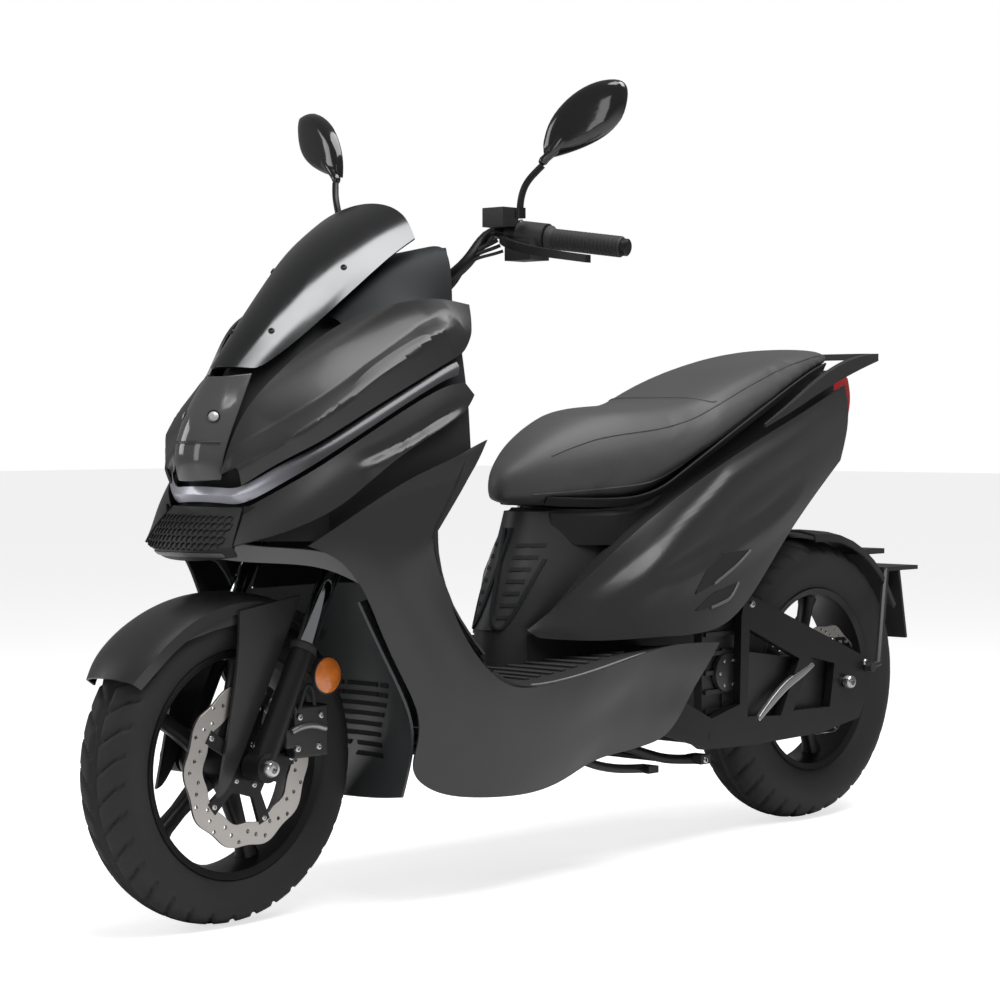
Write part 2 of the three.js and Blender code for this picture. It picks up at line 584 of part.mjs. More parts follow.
// ---------------------------------------------------------------- frame and power
function mainFrame() {
  const onAxis = (geometry) => moved(geometry, 0, STEER_Y, FRONT_TYRE_R, -RAKE);
  const headTube = onAxis(rod([0, 0, 455], [0, 0, 640], 27, 14));
  const headBore = onAxis(rod([0, 0, 440], [0, 0, 660], 16, 14));
  const spine = bentBar([[0, -456, 668], [0, -412, 585], [0, -393, 480], [0, -391, 400], [0, -384, 320],
    [0, -345, 250], [0, -318, 238]], 14, 9, 6);
  const rail = (side) => bentBar([[95, -318, 236], [95, -60, 228], [95, 110, 236], [94, 170, 320],
    [88, 190, 470],
    [80, 262, 600], [72, 450, 690], [66, 660, 790]].map(([x, y, z]) => [side * x, y, z]), 12, 11, 6);
  const pivotPlate = (side) => join(
    sidePlate([[104, 240], [150, 300], [318, 222], [322, 184], [288, 178], [120, 226]], side * 128, 7),
    rod([side * 90, 120, 244], [side * 130, 128, 250], 10),
  );
  const [pivotY, pivotZ] = SWING_PIVOT;
  const frame = join(
    headTube, spine, rail(1), rail(-1), pivotPlate(1), pivotPlate(-1),
    rod([-100, -318, 236], [100, -318, 236], 13),
    rod([-90, 188, 460], [90, 188, 460], 10),
    rod([-82, 262, 600], [82, 262, 600], 10),
    rod([-68, 640, 781], [68, 640, 781], 9),
    rod([-132, pivotY, pivotZ], [132, pivotY, pivotZ], 8),
    rod([92, -95, 230], [136, -95, 206], 9),
    sidePlate([[84, 240], [118, 240], [112, 192], [88, 192]], 84, 8),
    sidePlate([[84, 240], [118, 240], [112, 192], [88, 192]], -84, 8),
    box(120, 44, 10, 0, -318, 223),
  );
  add("main_frame", cut(frame, headBore), blackMetal);
}

function power() {
  add("battery_pack", box(150, 360, 70, 0, -100, 286), darkPlastic);
  add("controller", box(104, 150, 60, 0, 90, 500), castAlloy);
}

// ---------------------------------------------------------------- rear suspension and drive
function swingArm() {
  const [pivotY, pivotZ] = SWING_PIVOT;
  const outline = [[280, 218], [278, 186], [300, 174], [440, 170], [650, 174], [770, 192], [800, 240],
    [806, 288],
    [788, 306], [440, 436], [414, 428], [406, 404], [402, 246]];
  const windows = [
    [[424, 222], [524, 216], [580, 316], [430, 378]],
    [[562, 222], [676, 220], [690, 300], [618, 316]],
  ];
  const plates = [1, -1].map((side) => sidePlate(outline, side * 108, 16, windows));
  const tube = rod([-116, pivotY, pivotZ], [116, pivotY, pivotZ], 17, 16);
  const upperTube = rod([-110, 424, 424], [110, 424, 424], 11);
  const pivotBore = rod([-130, pivotY, pivotZ], [130, pivotY, pivotZ], 9, 16);
  const axleBore = rod([-130, REAR_AXLE_Y, REAR_TYRE_R], [130, REAR_AXLE_Y, REAR_TYRE_R], AXLE_R + 1, 16);
  add("swing_arm", cut(join(...plates, tube, upperTube), pivotBore, axleBore), blackMetal);
}

function motorHousing() {
  const block = box(176, 112, 200, 0, 384, 302);
  const ribs = Array.from({ length: 5 }, (_, i) => box(188, 104, 8, 0, 384, 236 + 34 * i));
  const gearCase = sidePlate([[380, 214], [380, 346], [560, 320], [748, 306], [768, 264], [748, 222],
    [540, 204]],
    83, 20);
  const axleBore = rod([50, REAR_AXLE_Y, REAR_TYRE_R], [130, REAR_AXLE_Y, REAR_TYRE_R], AXLE_R + 1, 16);
  add("motor_housing", cut(join(block, ...ribs, gearCase), axleBore), castAlloy);
}

function rearHugger() {
  const arc = [28, 44, 60, 78, 96].map(THREE.MathUtils.degToRad);
  const line = (x, offset) => arc.map((angle) => [x, REAR_AXLE_Y + (277 + offset) * Math.cos(angle),
    REAR_TYRE_R + (277 + offset) * Math.sin(angle)]);
  const hood = panel([line(-70, -16), line(-66, -2), line(-34, 4), line(0, 5), line(34, 4), line(66, -2),
    line(70, -16)], [0, REAR_AXLE_Y, REAR_TYRE_R], 8);
  const shelf = box(2 * PLATE_HALF_W, TAIL_END_Y - 932, 8, 0, (TAIL_END_Y + 932) / 2, 462);
  const upperShelf = box(2 * PLATE_HALF_W, 68, 10, 0, 900, 498);
  const top = new THREE.Vector2(...PLATE_TOP);
  const down = new THREE.Vector2(...PLATE_FOOT).sub(top);
  const height = down.length();
  down.normalize();
  const out = new THREE.Vector2(-down.y, down.x);
  const onPlate = (distance, proud) =>
    top.clone().addScaledVector(down, distance).addScaledVector(out, proud).toArray();
  const slab = (from, to, low, high, halfWidth) =>
    sidePlate([onPlate(from, low), onPlate(from, high), onPlate(to, high), onPlate(to, low)], 0,
      2 * halfWidth);
  const plate = join(slab(0, height, -6, 0, PLATE_HALF_W), slab(20, height - 20, -3, 2.5, PLATE_HALF_W - 8));
  const strut = (side) => join(
    rod([side * 117, 794, 286], [side * 132, 794, 286], 9, 10),
    rod([side * 126, 790, 286], [side * 126, 822, 292], 6, 8),
    rod([side * 126, 818, 290], [side * 56, 944, 461], 7, 8),
  );
  add("rear_hugger", join(hood, shelf, upperShelf, plate, strut(1), strut(-1)), darkPlastic);
}

const SHOCK_TOP = [0, 300, 612];
const SHOCK_FOOT = [0, 370, 414];

function shock() {
  const top = new THREE.Vector3(...SHOCK_TOP);
  const down = new THREE.Vector3(...SHOCK_FOOT).sub(top).normalize();
  const at = (distance) => top.clone().addScaledVector(down, distance).toArray();
  const hanger = rod([-14, 300, 612], [14, 300, 612], 13, 14);
  const body = cut(join(hanger, rod(at(0), at(118), 22, 16)), rod(at(40), at(130), 9, 14));
  add("shock_body", body, castAlloy);
  const spring = rod(at(142), at(186), 20, 16);
  add("shock_rod", join(rod(at(64), at(190), 7, 12), spring, rod(at(184), at(203), 12, 12)), chrome);
}

// ---------------------------------------------------------------- stands
function stands() {
  const side = join(
    rod([143, -95, 205], [159, -95, 205], 14, 14),
    bentBar([[150, -92, 204], [151, -40, 184], [154, 24, 171], [158, 82, 167]], 9, 6, 6),
    box(34, 26, 12, 161, 84, 166),
  );
  add("side_stand", side, blackMetal);
  const leg = (s) => bentBar([[62, 100, 205], [68, 168, 182], [84, 232, 162], [112, 276, 160]]
    .map(([x, y, z]) => [s * x, y, z]), 10, 7, 6);
  const foot = (s) => box(34, 26, 16, s * 118, 280, 161);
  const centre = join(leg(1), leg(-1), foot(1), foot(-1), rod([-79, 100, 205], [79, 100, 205], 12, 14),
    rod([-84, 234, 162], [84, 234, 162], 7));
  add("centre_stand", centre, blackMetal);
}

// ---------------------------------------------------------------- handlebar and its controls
const GRIP_INNER = new THREE.Vector3(220, -238, 1034);
const GRIP_OUTER = new THREE.Vector3(350, -207, 1016);
const BAR_WAY = GRIP_OUTER.clone().sub(GRIP_INNER).normalize();
const BAR_LENGTH = GRIP_OUTER.distanceTo(GRIP_INNER);
const REAR_WAY = new THREE.Vector3(-BAR_WAY.y, BAR_WAY.x, 0).normalize();
const BAR_R = 11;
const BORE_R = 12;
const onBar = (distance, rear = 0) =>
  GRIP_INNER.clone().addScaledVector(BAR_WAY, distance).addScaledVector(REAR_WAY, rear).toArray();
const barRod = (from, to, radius, sides = 12) => rod(onBar(from), onBar(to), radius, sides);
const buttonRod = (along, from, to, radius) => rod(onBar(along, from), onBar(along, to), radius, 10);

function handlebar() {
  const centre = new THREE.Vector3(0, -5, STEM_TOP + 19).applyAxisAngle(new THREE.Vector3(1, 0, 0), -RAKE);
  const [y, z] = [STEER_Y + centre.y, FRONT_TYRE_R + centre.z];
  const riser = (s) => bentBar([[60, y, z], [82, y + 3, z + 6], [110, y + 20, z + 32], onBar(-98), onBar(-76)]
    .map(([px, py, pz]) => [s * px, py, pz]), BAR_R, 7, 8);
  const end = barRod(-80, BAR_LENGTH - 8, BAR_R, 8);
  add("handlebar", join(rod([-64, y, z], [64, y, z], BAR_R, 10), riser(1), riser(-1), end,
    mirrored(end)), blackMetal);
}

function grips() {
  const grip = cut(barRod(7, BAR_LENGTH, 16.5, 14), barRod(0, BAR_LENGTH - 6, BORE_R));
  add("left_grip", grip, rubber);
  add("throttle_grip", mirrored(grip), rubber);
}

const HORN_AT = -12;
const TURN_AT = -33;
const BUTTON_R = 5.4;

function controlPods() {
  const pod = cut(
    join(barRod(-44, 4, 24, 14), barRod(-66, -42, 17, 14), box(44, 36, 30, 160, -276, 1067),
      box(54, 44, 34, 194, -252, 1016)),
    barRod(-90, 20, BORE_R),
  );
  const hornHole = buttonRod(HORN_AT, 14, 30, BUTTON_R + 0.8);
  const turnHole = buttonRod(TURN_AT, 14, 30, BUTTON_R + 3.4);
  add("left_control_pod", cut(pod, hornHole, turnHole), darkPlastic);
  add("right_control_pod", mirrored(cut(pod, hornHole)), darkPlastic);
  add("horn_button", buttonRod(HORN_AT, 17.2, 27, BUTTON_R), redLens);
  add("turn_switch", buttonRod(TURN_AT, 15, 28, BUTTON_R), darkPlastic);
  add("start_button", mirrored(buttonRod(HORN_AT, 17.2, 27, BUTTON_R)), redLens);
}

function levers() {
  const stations = [[166, -283, 1034, 7, 6], [200, -304, 1023, 8, 7], [250, -307, 1010, 7, 7],
    [310, -291, 1000, 6, 6], [342, -277, 995, 6, 6]];
  const loops = stations.map(([x, y, z, w, h]) => [[x, y - w, z - h], [x, y + w, z - h], [x, y + w, z + h],
    [x, y - w, z + h]]);
  add("left_brake_lever", loft(loops), castAlloy);
  add("right_brake_lever", mirrored(loft(loops)), castAlloy);
}

function mirrors() {
  const arm = join(rod([199, -273, 1064], [199, -273, 1080], 9, 12),
    bentBar([[199, -273, 1072], [204, -277, 1094], [213, -274, 1118], [231, -257, 1145]], 6, 6));
  add("left_mirror_arm", arm, blackMetal);
  add("right_mirror_arm", mirrored(arm), blackMetal);
  const face = [[-68, -62], [-72, -28], [-54, 8], [-19, 39], [22, 57], [62, 57], [75, 42], [70, 10],
    [58, -15],
    [26, -38], [-29, -56]];
  const ring = (y, scale) => face.map(([x, z]) => [scale * x, y, scale * z]);
  const shell = loft([ring(10, 0.93), ring(6, 1), ring(-6, 0.97), ring(-16, 0.72)]);
  const head = moved(shell, 294, -232, 1217, 0, 0, MIRROR_TOE_IN);
  add("left_mirror_head", head, glossBlack);
  add("right_mirror_head", mirrored(head), glossBlack);
}

function ignition() {
  const rear = -296.5;
  const length = 22;
  add("ignition_knob", rod([-62, rear - length, 770], [-62, rear, 770], 15, 16), darkPlastic);
}

// ---------------------------------------------------------------- assembly
frontWheel();
rearWheel();
forkLegs();
steeringStem();
frontCaliper();
frontFender();
upperFairings();
midFairings();
legShields();
lightBar();
nosePanel();
headlight();
windscreen();
dashboard();
innerLegShield();
lowerCowl();
floorboard();
underSeatPanel();
tailFairings();
tailLight();
grabRail();
seat();
mainFrame();
power();
swingArm();
motorHousing();
rearHugger();
shock();
stands();
handlebar();
grips();
controlPods();
levers();
mirrors();
ignition();

// The origin moves from midway between the axles to the middle of the overall length.
const scooterInFrame = new THREE.Group();
scooter.position.y = (FRONT_TYRE_R - FRONT_AXLE_Y - TAIL_END_Y) / 2;
scooterInFrame.add(scooter);

export default scooterInFrame;
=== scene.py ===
"""Looks of the step-through scooter: fine surfaces, materials, small fittings, light and camera.

Metres, +Z up, the front faces -Y and +X is the rider's left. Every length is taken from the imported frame.
"""

import json
import math

import bmesh
import bpy
from mathutils import Matrix, Vector
from mathutils.bvhtree import BVHTree


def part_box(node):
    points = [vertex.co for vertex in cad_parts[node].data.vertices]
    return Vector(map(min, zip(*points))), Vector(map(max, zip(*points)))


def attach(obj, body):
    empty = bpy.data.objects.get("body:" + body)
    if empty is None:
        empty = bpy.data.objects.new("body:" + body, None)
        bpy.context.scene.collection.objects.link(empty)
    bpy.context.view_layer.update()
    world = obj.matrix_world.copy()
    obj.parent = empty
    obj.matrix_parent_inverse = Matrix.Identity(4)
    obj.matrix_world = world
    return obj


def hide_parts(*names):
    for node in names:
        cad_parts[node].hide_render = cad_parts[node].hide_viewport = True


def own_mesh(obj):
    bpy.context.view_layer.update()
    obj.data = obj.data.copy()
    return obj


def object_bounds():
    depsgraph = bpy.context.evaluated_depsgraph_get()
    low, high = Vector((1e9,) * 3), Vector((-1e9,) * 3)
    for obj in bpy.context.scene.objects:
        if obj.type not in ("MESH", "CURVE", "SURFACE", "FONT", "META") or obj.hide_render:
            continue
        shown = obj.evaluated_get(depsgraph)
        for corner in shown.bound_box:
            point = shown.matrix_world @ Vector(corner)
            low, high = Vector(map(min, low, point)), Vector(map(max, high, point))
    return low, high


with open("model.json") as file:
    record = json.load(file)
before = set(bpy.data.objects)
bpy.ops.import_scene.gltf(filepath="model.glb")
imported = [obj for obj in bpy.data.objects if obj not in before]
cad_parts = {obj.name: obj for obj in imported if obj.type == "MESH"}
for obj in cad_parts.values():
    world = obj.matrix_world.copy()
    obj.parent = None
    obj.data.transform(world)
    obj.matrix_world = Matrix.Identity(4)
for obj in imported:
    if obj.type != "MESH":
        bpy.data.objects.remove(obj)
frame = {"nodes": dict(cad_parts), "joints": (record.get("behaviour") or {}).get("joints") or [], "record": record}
CAD_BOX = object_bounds()
RECORD = frame["record"]
BODY_OF = {node: body for body, nodes in RECORD["behaviour"]["bodies"].items() for node in nodes}
JOINTS = {joint["name"]: joint for joint in frame["joints"]}
MM = 0.001
SIDES = (1, -1)
STEERING_AXIS = Vector(JOINTS["steering_turn"]["axis"]).normalized()


# ---------------------------------------------------------------- materials
def base_material(name, colour, roughness, metallic=0.0, coat=0.0):
    """A principled material with its texture coordinates; returns the material and its main nodes."""
    material = bpy.data.materials.new(name)
    material.use_nodes = True
    nodes = material.node_tree.nodes
    shader = nodes["Principled BSDF"]
    shader.inputs["Base Color"].default_value = (*colour, 1)
    shader.inputs["Roughness"].default_value = roughness
    shader.inputs["Metallic"].default_value = metallic
    shader.inputs["Coat Weight"].default_value = coat
    shader.inputs["Coat Roughness"].default_value = 0.08
    place = nodes.new("ShaderNodeTexCoord")
    return material, shader, place


def noise(material, place, scale, detail=3.0, stretch=(1, 1, 1)):
    """A noise texture in object space, stretched along chosen axes."""
    nodes, links = material.node_tree.nodes, material.node_tree.links
    mapping = nodes.new("ShaderNodeMapping")
    mapping.inputs["Scale"].default_value = stretch
    texture = nodes.new("ShaderNodeTexNoise")
    texture.inputs["Scale"].default_value = scale
    texture.inputs["Detail"].default_value = detail
    links.new(place.outputs["Object"], mapping.inputs["Vector"])
    links.new(mapping.outputs["Vector"], texture.inputs["Vector"])
    return texture.outputs["Fac"]


def spread_colour(material, shader, factor, dark, light):
    """The base colour drifts between two tones."""
    nodes, links = material.node_tree.nodes, material.node_tree.links
    ramp = nodes.new("ShaderNodeValToRGB")
    ramp.color_ramp.elements[0].position = 0.3
    ramp.color_ramp.elements[1].position = 0.7
    ramp.color_ramp.elements[0].color = (*dark, 1)
    ramp.color_ramp.elements[1].color = (*light, 1)
    links.new(factor, ramp.inputs["Fac"])
    links.new(ramp.outputs["Color"], shader.inputs["Base Color"])


def spread_roughness(material, shader, factor, low, high):
    """The roughness drifts between two values."""
    nodes, links = material.node_tree.nodes, material.node_tree.links
    span = nodes.new("ShaderNodeMapRange")
    span.inputs["To Min"].default_value = low
    span.inputs["To Max"].default_value = high
    links.new(factor, span.inputs["Value"])
    links.new(span.outputs["Result"], shader.inputs["Roughness"])


def add_bump(material, shader, height, distance, strength=0.5):
    """Fine relief; distance in metres."""
    nodes, links = material.node_tree.nodes, material.node_tree.links
    bump = nodes.new("ShaderNodeBump")
    bump.inputs["Distance"].default_value = distance
    bump.inputs["Strength"].default_value = strength
    links.new(height, bump.inputs["Height"])
    links.new(bump.outputs["Normal"], shader.inputs["Normal"])


def grey(value, warmth=0.0):
    """A grey tone, slightly warm or cool."""
    return (value * (1 + warmth), value, value * (1 - warmth))


def finish_material(name, tone, roughness, grain, depth, warmth=0.0, metallic=0.0, coat=0.0, spread=0.12):
    """A tone with a slow drift in colour and roughness and a fine grain relief."""
    material, shader, place = base_material(name, grey(tone, warmth), roughness, metallic, coat)
    drift = noise(material, place, 4.0)
    spread_colour(material, shader, drift, grey(tone * (1 - spread), warmth), grey(tone * (1 + spread), warmth))
    fine = noise(material, place, grain)
    spread_roughness(material, shader, fine, roughness * 0.88, roughness * 1.12)
    add_bump(material, shader, fine, depth)
    return material


def make_bodywork():
    return finish_material("satin_graphite", 0.03, 0.34, 900, 0.00004, metallic=0.25, coat=0.1)


def make_cowl_grey():
    return finish_material("cowl_grey", 0.045, 0.4, 900, 0.00008, warmth=-0.06)


def make_arch_trim():
    return finish_material("satin_grey_trim", 0.12, 0.34, 700, 0.00004, metallic=0.3)


def make_dark_plastic():
    return finish_material("grained_black_plastic", 0.017, 0.5, 1400, 0.00012)


# Near black, darker than any plastic in the scene: painted shade for slot and vent openings and for the shadowed
# hollows behind, under and between the panels.
def make_painted_shade_black():
    return finish_material("near_black_painted_shade", 0.004, 0.8, 800, 0.0001)


def make_gloss_black():
    return finish_material("gloss_black", 0.008, 0.12, 300, 0.00002, coat=0.5)


def make_dash_side():
    material = finish_material("blue_black_plastic", 0.008, 0.6, 900, 0.00006, warmth=-0.25)
    material.node_tree.nodes["Principled BSDF"].inputs["Specular IOR Level"].default_value = 0.25
    return material


def make_black_metal():
    return finish_material("black_powder_coat", 0.014, 0.38, 1600, 0.00008, metallic=0.5)


def make_cast_alloy():
    return finish_material("dark_cast_alloy", 0.06, 0.45, 700, 0.0002, metallic=0.85)


def make_light_alloy():
    return finish_material("light_cast_alloy", 0.32, 0.36, 700, 0.0001, metallic=0.9)


def make_silver():
    return finish_material("silver_trim", 0.42, 0.28, 600, 0.00004, metallic=0.45, coat=0.3)


def make_light_bar():
    """Silver at the centre of the nose, fading to graphite along each arm."""
    material, shader, place = base_material("silver_light_bar", grey(0.4), 0.3, 0.45, 0.3)
    nodes, links = material.node_tree.nodes, material.node_tree.links
    split = nodes.new("ShaderNodeSeparateXYZ")
    links.new(place.outputs["Object"], split.inputs["Vector"])
    distance = nodes.new("ShaderNodeMath")
    distance.operation = "ABSOLUTE"
    links.new(split.outputs["X"], distance.inputs[0])
    share = nodes.new("ShaderNodeMapRange")
    share.inputs["From Min"].default_value = 0.03
    share.inputs["From Max"].default_value = 0.15
    links.new(distance.outputs[0], share.inputs["Value"])
    ramp = nodes.new("ShaderNodeValToRGB")
    ramp.color_ramp.elements[0].color = (0.62, 0.62, 0.70, 1)
    ramp.color_ramp.elements[1].color = (0.07, 0.07, 0.075, 1)
    links.new(share.outputs["Result"], ramp.inputs["Fac"])
    links.new(ramp.outputs["Color"], shader.inputs["Base Color"])
    spread_roughness(material, shader, noise(material, place, 500.0), 0.26, 0.36)
    return material


def make_chrome():
    return finish_material("hard_chrome", 0.62, 0.07, 200, 0.00001, warmth=-0.04, metallic=1.0)


def make_zinc():
    return finish_material("zinc_fastener", 0.5, 0.25, 900, 0.00005, metallic=1.0)


def make_rubber():
    return finish_material("moulded_rubber", 0.016, 0.7, 1200, 0.0001)


def make_brushed_disc():
    material = finish_material("brushed_disc_steel", 0.38, 0.3, 500, 0.00004, warmth=0.05, metallic=1.0)
    shader = material.node_tree.nodes["Principled BSDF"]
    shader.inputs["Anisotropic"].default_value = 0.6
    return material


def make_tyre():
    material, shader, place = base_material("tyre_rubber", grey(0.012), 0.75)
    dust = noise(material, place, 9.0, detail=6.0)
    spread_colour(material, shader, dust, grey(0.009), grey(0.016, 0.03))
    spread_roughness(material, shader, dust, 0.62, 0.8)
    add_bump(material, shader, noise(material, place, 900.0), 0.00015)
    return material


def make_vinyl():
    """Seat cover: pebble grain from a cell texture under a soft sheen."""
    material, shader, place = base_material("seat_vinyl", grey(0.05), 0.55)
    drift = noise(material, place, 3.0)
    spread_colour(material, shader, drift, grey(0.045), grey(0.056))
    spread_roughness(material, shader, drift, 0.46, 0.6)
    cells = material.node_tree.nodes.new("ShaderNodeTexVoronoi")
    cells.inputs["Scale"].default_value = 520.0
    material.node_tree.links.new(place.outputs["Object"], cells.inputs["Vector"])
    add_bump(material, shader, cells.outputs["Distance"], 0.0003, 0.35)
    return material


def make_screen():
    """Smoked polycarbonate, near black with a hard polish."""
    return finish_material("smoked_screen", 0.12, 0.2, 40, 0.00001, warmth=-0.02, metallic=1.0, spread=0.1)


def make_lens():
    return finish_material("headlight_lens", 0.06, 0.12, 60, 0.00002, coat=0.6)


def make_lens_with_painted_glint():
    material, shader, place = base_material("projector_lens_painted_glint", grey(0.35), 0.05, coat=1.0)
    spread_roughness(material, shader, noise(material, place, 300.0), 0.03, 0.08)
    # The faint white emission is a painted glint on the lens; the lamp is not lit.
    shader.inputs["Emission Color"].default_value = (1, 1, 1, 1)
    shader.inputs["Emission Strength"].default_value = 0.04
    return material


def make_coloured_lens(name, colour, cells_per_metre):
    """A moulded lens with prism cells."""
    material, shader, place = base_material(name, colour, 0.15, coat=0.8)
    dark = tuple(0.75 * c for c in colour)
    spread_colour(material, shader, noise(material, place, 60.0), dark, colour)
    cells = material.node_tree.nodes.new("ShaderNodeTexVoronoi")
    cells.inputs["Scale"].default_value = cells_per_metre
    material.node_tree.links.new(place.outputs["Object"], cells.inputs["Vector"])
    add_bump(material, shader, cells.outputs["Distance"], 0.0006, 0.5)
    return material


def make_mirror():
    return finish_material("mirror_glass", 0.85, 0.03, 100, 0.000005, metallic=1.0)


BODYWORK = make_bodywork()
COWL_GREY = make_cowl_grey()
ARCH_TRIM = make_arch_trim()
DARK_PLASTIC = make_dark_plastic()
PAINTED_SHADE_BLACK = make_painted_shade_black()
GLOSS_BLACK = make_gloss_black()
DASH_SIDE = make_dash_side()
BLACK_METAL = make_black_metal()
CAST_ALLOY = make_cast_alloy()
LIGHT_ALLOY = make_light_alloy()
SILVER = make_silver()
LIGHT_BAR = make_light_bar()
CHROME = make_chrome()
ZINC = make_zinc()
RUBBER = make_rubber()
DISC_STEEL = make_brushed_disc()
TYRE = make_tyre()
VINYL = make_vinyl()
SCREEN = make_screen()
LENS = make_lens()
LENS_PAINTED_GLINT = make_lens_with_painted_glint()
RED_LENS = make_coloured_lens("red_lens", (0.42, 0.006, 0.01), 160.0)
AMBER_LENS = make_coloured_lens("amber_lens", (0.75, 0.2, 0.03), 260.0)
MIRROR = make_mirror()


# ---------------------------------------------------------------- tools: objects and frame geometry
def link(name, mesh, material, body):
    """A mesh as a piece of the object that moves with one body."""
    mesh.materials.append(material)
    piece = bpy.data.objects.new(name, mesh)
    bpy.context.scene.collection.objects.link(piece)
    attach(piece, body)
    return piece


def from_bmesh(name, bm, material, body, smooth_below=35):
    """Turns a bmesh into a piece; edges sharper than the angle stay sharp."""
    bmesh.ops.recalc_face_normals(bm, faces=bm.faces)
    for edge in bm.edges:
        edge.smooth = edge.is_manifold and edge.calc_face_angle(0) < math.radians(smooth_below)
    for face in bm.faces:
        face.smooth = True
    mesh = bpy.data.meshes.new(name)
    bm.to_mesh(mesh)
    bm.free()
    return link(name, mesh, material, body)


def modifier(piece, kind, **settings):
    """Adds a modifier with its settings."""
    made = piece.modifiers.new(kind.title(), kind)
    for key, value in settings.items():
        setattr(made, key, value)
    return made


def spot(node, fx, fy, fz):
    """A point given as shares of a node's box."""
    low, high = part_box(node)
    return Vector((low.x + fx * (high.x - low.x), low.y + fy * (high.y - low.y), low.z + fz * (high.z - low.z)))


def middle(node):
    return spot(node, 0.5, 0.5, 0.5)


def mirror_x(point):
    return Vector((-point.x, point.y, point.z))


TREES = {}


def tree_of(node):
    """A search tree over a CAD node's surface at rest."""
    if node not in TREES:
        mesh = frame["nodes"][node].data
        mesh.calc_loop_triangles()
        triangles = [tuple(t.vertices) for t in mesh.loop_triangles]
        TREES[node] = BVHTree.FromPolygons([v.co.copy() for v in mesh.vertices], triangles)
    return TREES[node]


def follow(node, piece):
    """From now on rays meet the shown piece instead of the CAD node."""
    mesh = bpy.data.meshes.new_from_object(piece.evaluated_get(bpy.context.evaluated_depsgraph_get()))
    mesh.calc_loop_triangles()
    triangles = [tuple(t.vertices) for t in mesh.loop_triangles]
    TREES[node] = BVHTree.FromPolygons([v.co.copy() for v in mesh.vertices], triangles)
    bpy.data.meshes.remove(mesh)


def hit(node, start, way):
    """Where a ray meets a node's surface, and the normal there; None if it misses."""
    place, normal, _, _ = tree_of(node).ray_cast(Vector(start), Vector(way).normalized())
    if place is None:
        return None
    if normal.dot(Vector(way)) > 0:
        normal = -normal
    return place, normal


def clean_copy(node):
    """A CAD node's surface with shared corners welded and its triangles paired into quads."""
    bm = bmesh.new()
    bm.from_mesh(frame["nodes"][node].data)
    bmesh.ops.remove_doubles(bm, verts=bm.verts, dist=0.00002)
    bmesh.ops.dissolve_limit(bm, angle_limit=math.radians(0.6), verts=bm.verts, edges=bm.edges)
    triangles = [f for f in bm.faces if len(f.verts) == 3]
    bmesh.ops.join_triangles(bm, faces=triangles, angle_face_threshold=math.radians(25),
                             angle_shape_threshold=math.radians(60))
    return bm


def skin(node, material, edge=0.0012, levels=2, limit=38):
    """A fine skin for a CAD node: a subdivided surface with its sharp edges held and then rounded a little."""
    bm = clean_copy(node)
    crease = bm.edges.layers.float.new("crease_edge")
    for line in bm.edges:
        if line.is_manifold and line.calc_face_angle(0) > math.radians(limit):
            line[crease] = 1.0
    piece = from_bmesh(f"{node}_skin", bm, material, BODY_OF[node], smooth_below=limit)
    modifier(piece, "SUBSURF", levels=levels, render_levels=levels)
    if edge:
        modifier(piece, "BEVEL", width=edge, segments=2, limit_method="ANGLE", angle_limit=math.radians(limit),
                 harden_normals=True)
    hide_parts(node)
    follow(node, piece)
    return piece


def bake(piece):
    """Turns a piece's modifiers into its own mesh."""
    made = bpy.data.meshes.new_from_object(piece.evaluated_get(bpy.context.evaluated_depsgraph_get()))
    piece.modifiers.clear()
    piece.data = made


VALLEY = 0.35


def crease_weight(knots, y, z, above, below):
    """How far a spot is raised by a body line: full on the line, a shallow valley above it, none farther off."""
    best = None
    for i, (a, b) in enumerate(zip(knots, knots[1:])):
        run = Vector((b[0] - a[0], b[1] - a[1]))
        off = Vector((y - a[0], z - a[1]))
        t = min(max(off.dot(run) / run.length_squared, 0), 1)
        gap = (off - run * t).length
        if best is None or gap < best[0]:
            side = run.x * off.y - run.y * off.x
            best = (gap, side * (1 if run.x > 0 else -1), (i + t) / (len(knots) - 1))
    gap, side, share = best
    fade = min(1, 6 * share, 6 * (1 - share))
    if side <= 0:
        return max(0, 1 - gap / below) * fade
    reach = gap / above
    if reach < 1:
        return (1 - (1 + VALLEY) * reach) * fade
    return -VALLEY * max(0, 1 - (reach - 1) / 1.4) * fade


def lined_panel(node, material, lines, push_way=(1, 0, 0), limit=50):
    """A bodywork skin with raised body lines; each line is (knots in y and z, height, reach above, reach below)."""
    piece = skin(node, material, edge=0, levels=3, limit=limit)
    bake(piece)
    outward = Vector(push_way).normalized()
    if middle(node).x < 0:
        outward = mirror_x(outward)
    for vertex in piece.data.vertices:
        push = 0
        for knots, height, above, below in lines:
            push += height * crease_weight(knots, vertex.co.y, vertex.co.z, above, below)
        vertex.co += outward * push
    modifier(piece, "BEVEL", width=0.001, segments=2, limit_method="ANGLE", angle_limit=math.radians(limit),
             harden_normals=True)
    follow(node, piece)
    return piece


def machined(node, material, edge=0.001):
    """A CAD node shown with bevelled edges and its flat faces kept flat, in place of the node."""
    bm = clean_copy(node)
    piece = from_bmesh(f"{node}_skin", bm, material, BODY_OF[node], smooth_below=32)
    modifier(piece, "BEVEL", width=edge, segments=3, limit_method="ANGLE", angle_limit=math.radians(32),
             harden_normals=True)
    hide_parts(node)
    return piece


# ---------------------------------------------------------------- tools: shapes
def bent_tube(name, points, radius, material, body, resolution=6, sides=6):
    """A round tube bent through a line of points."""
    curve = bpy.data.curves.new(name, "CURVE")
    curve.dimensions = "3D"
    curve.bevel_depth = radius
    curve.bevel_resolution = sides
    curve.resolution_u = resolution
    curve.use_fill_caps = True
    spline = curve.splines.new("BEZIER")
    spline.bezier_points.add(len(points) - 1)
    for knot, point in zip(spline.bezier_points, points):
        knot.co = point
        knot.handle_left_type = knot.handle_right_type = "AUTO"
    return link(name, curve, material, body)


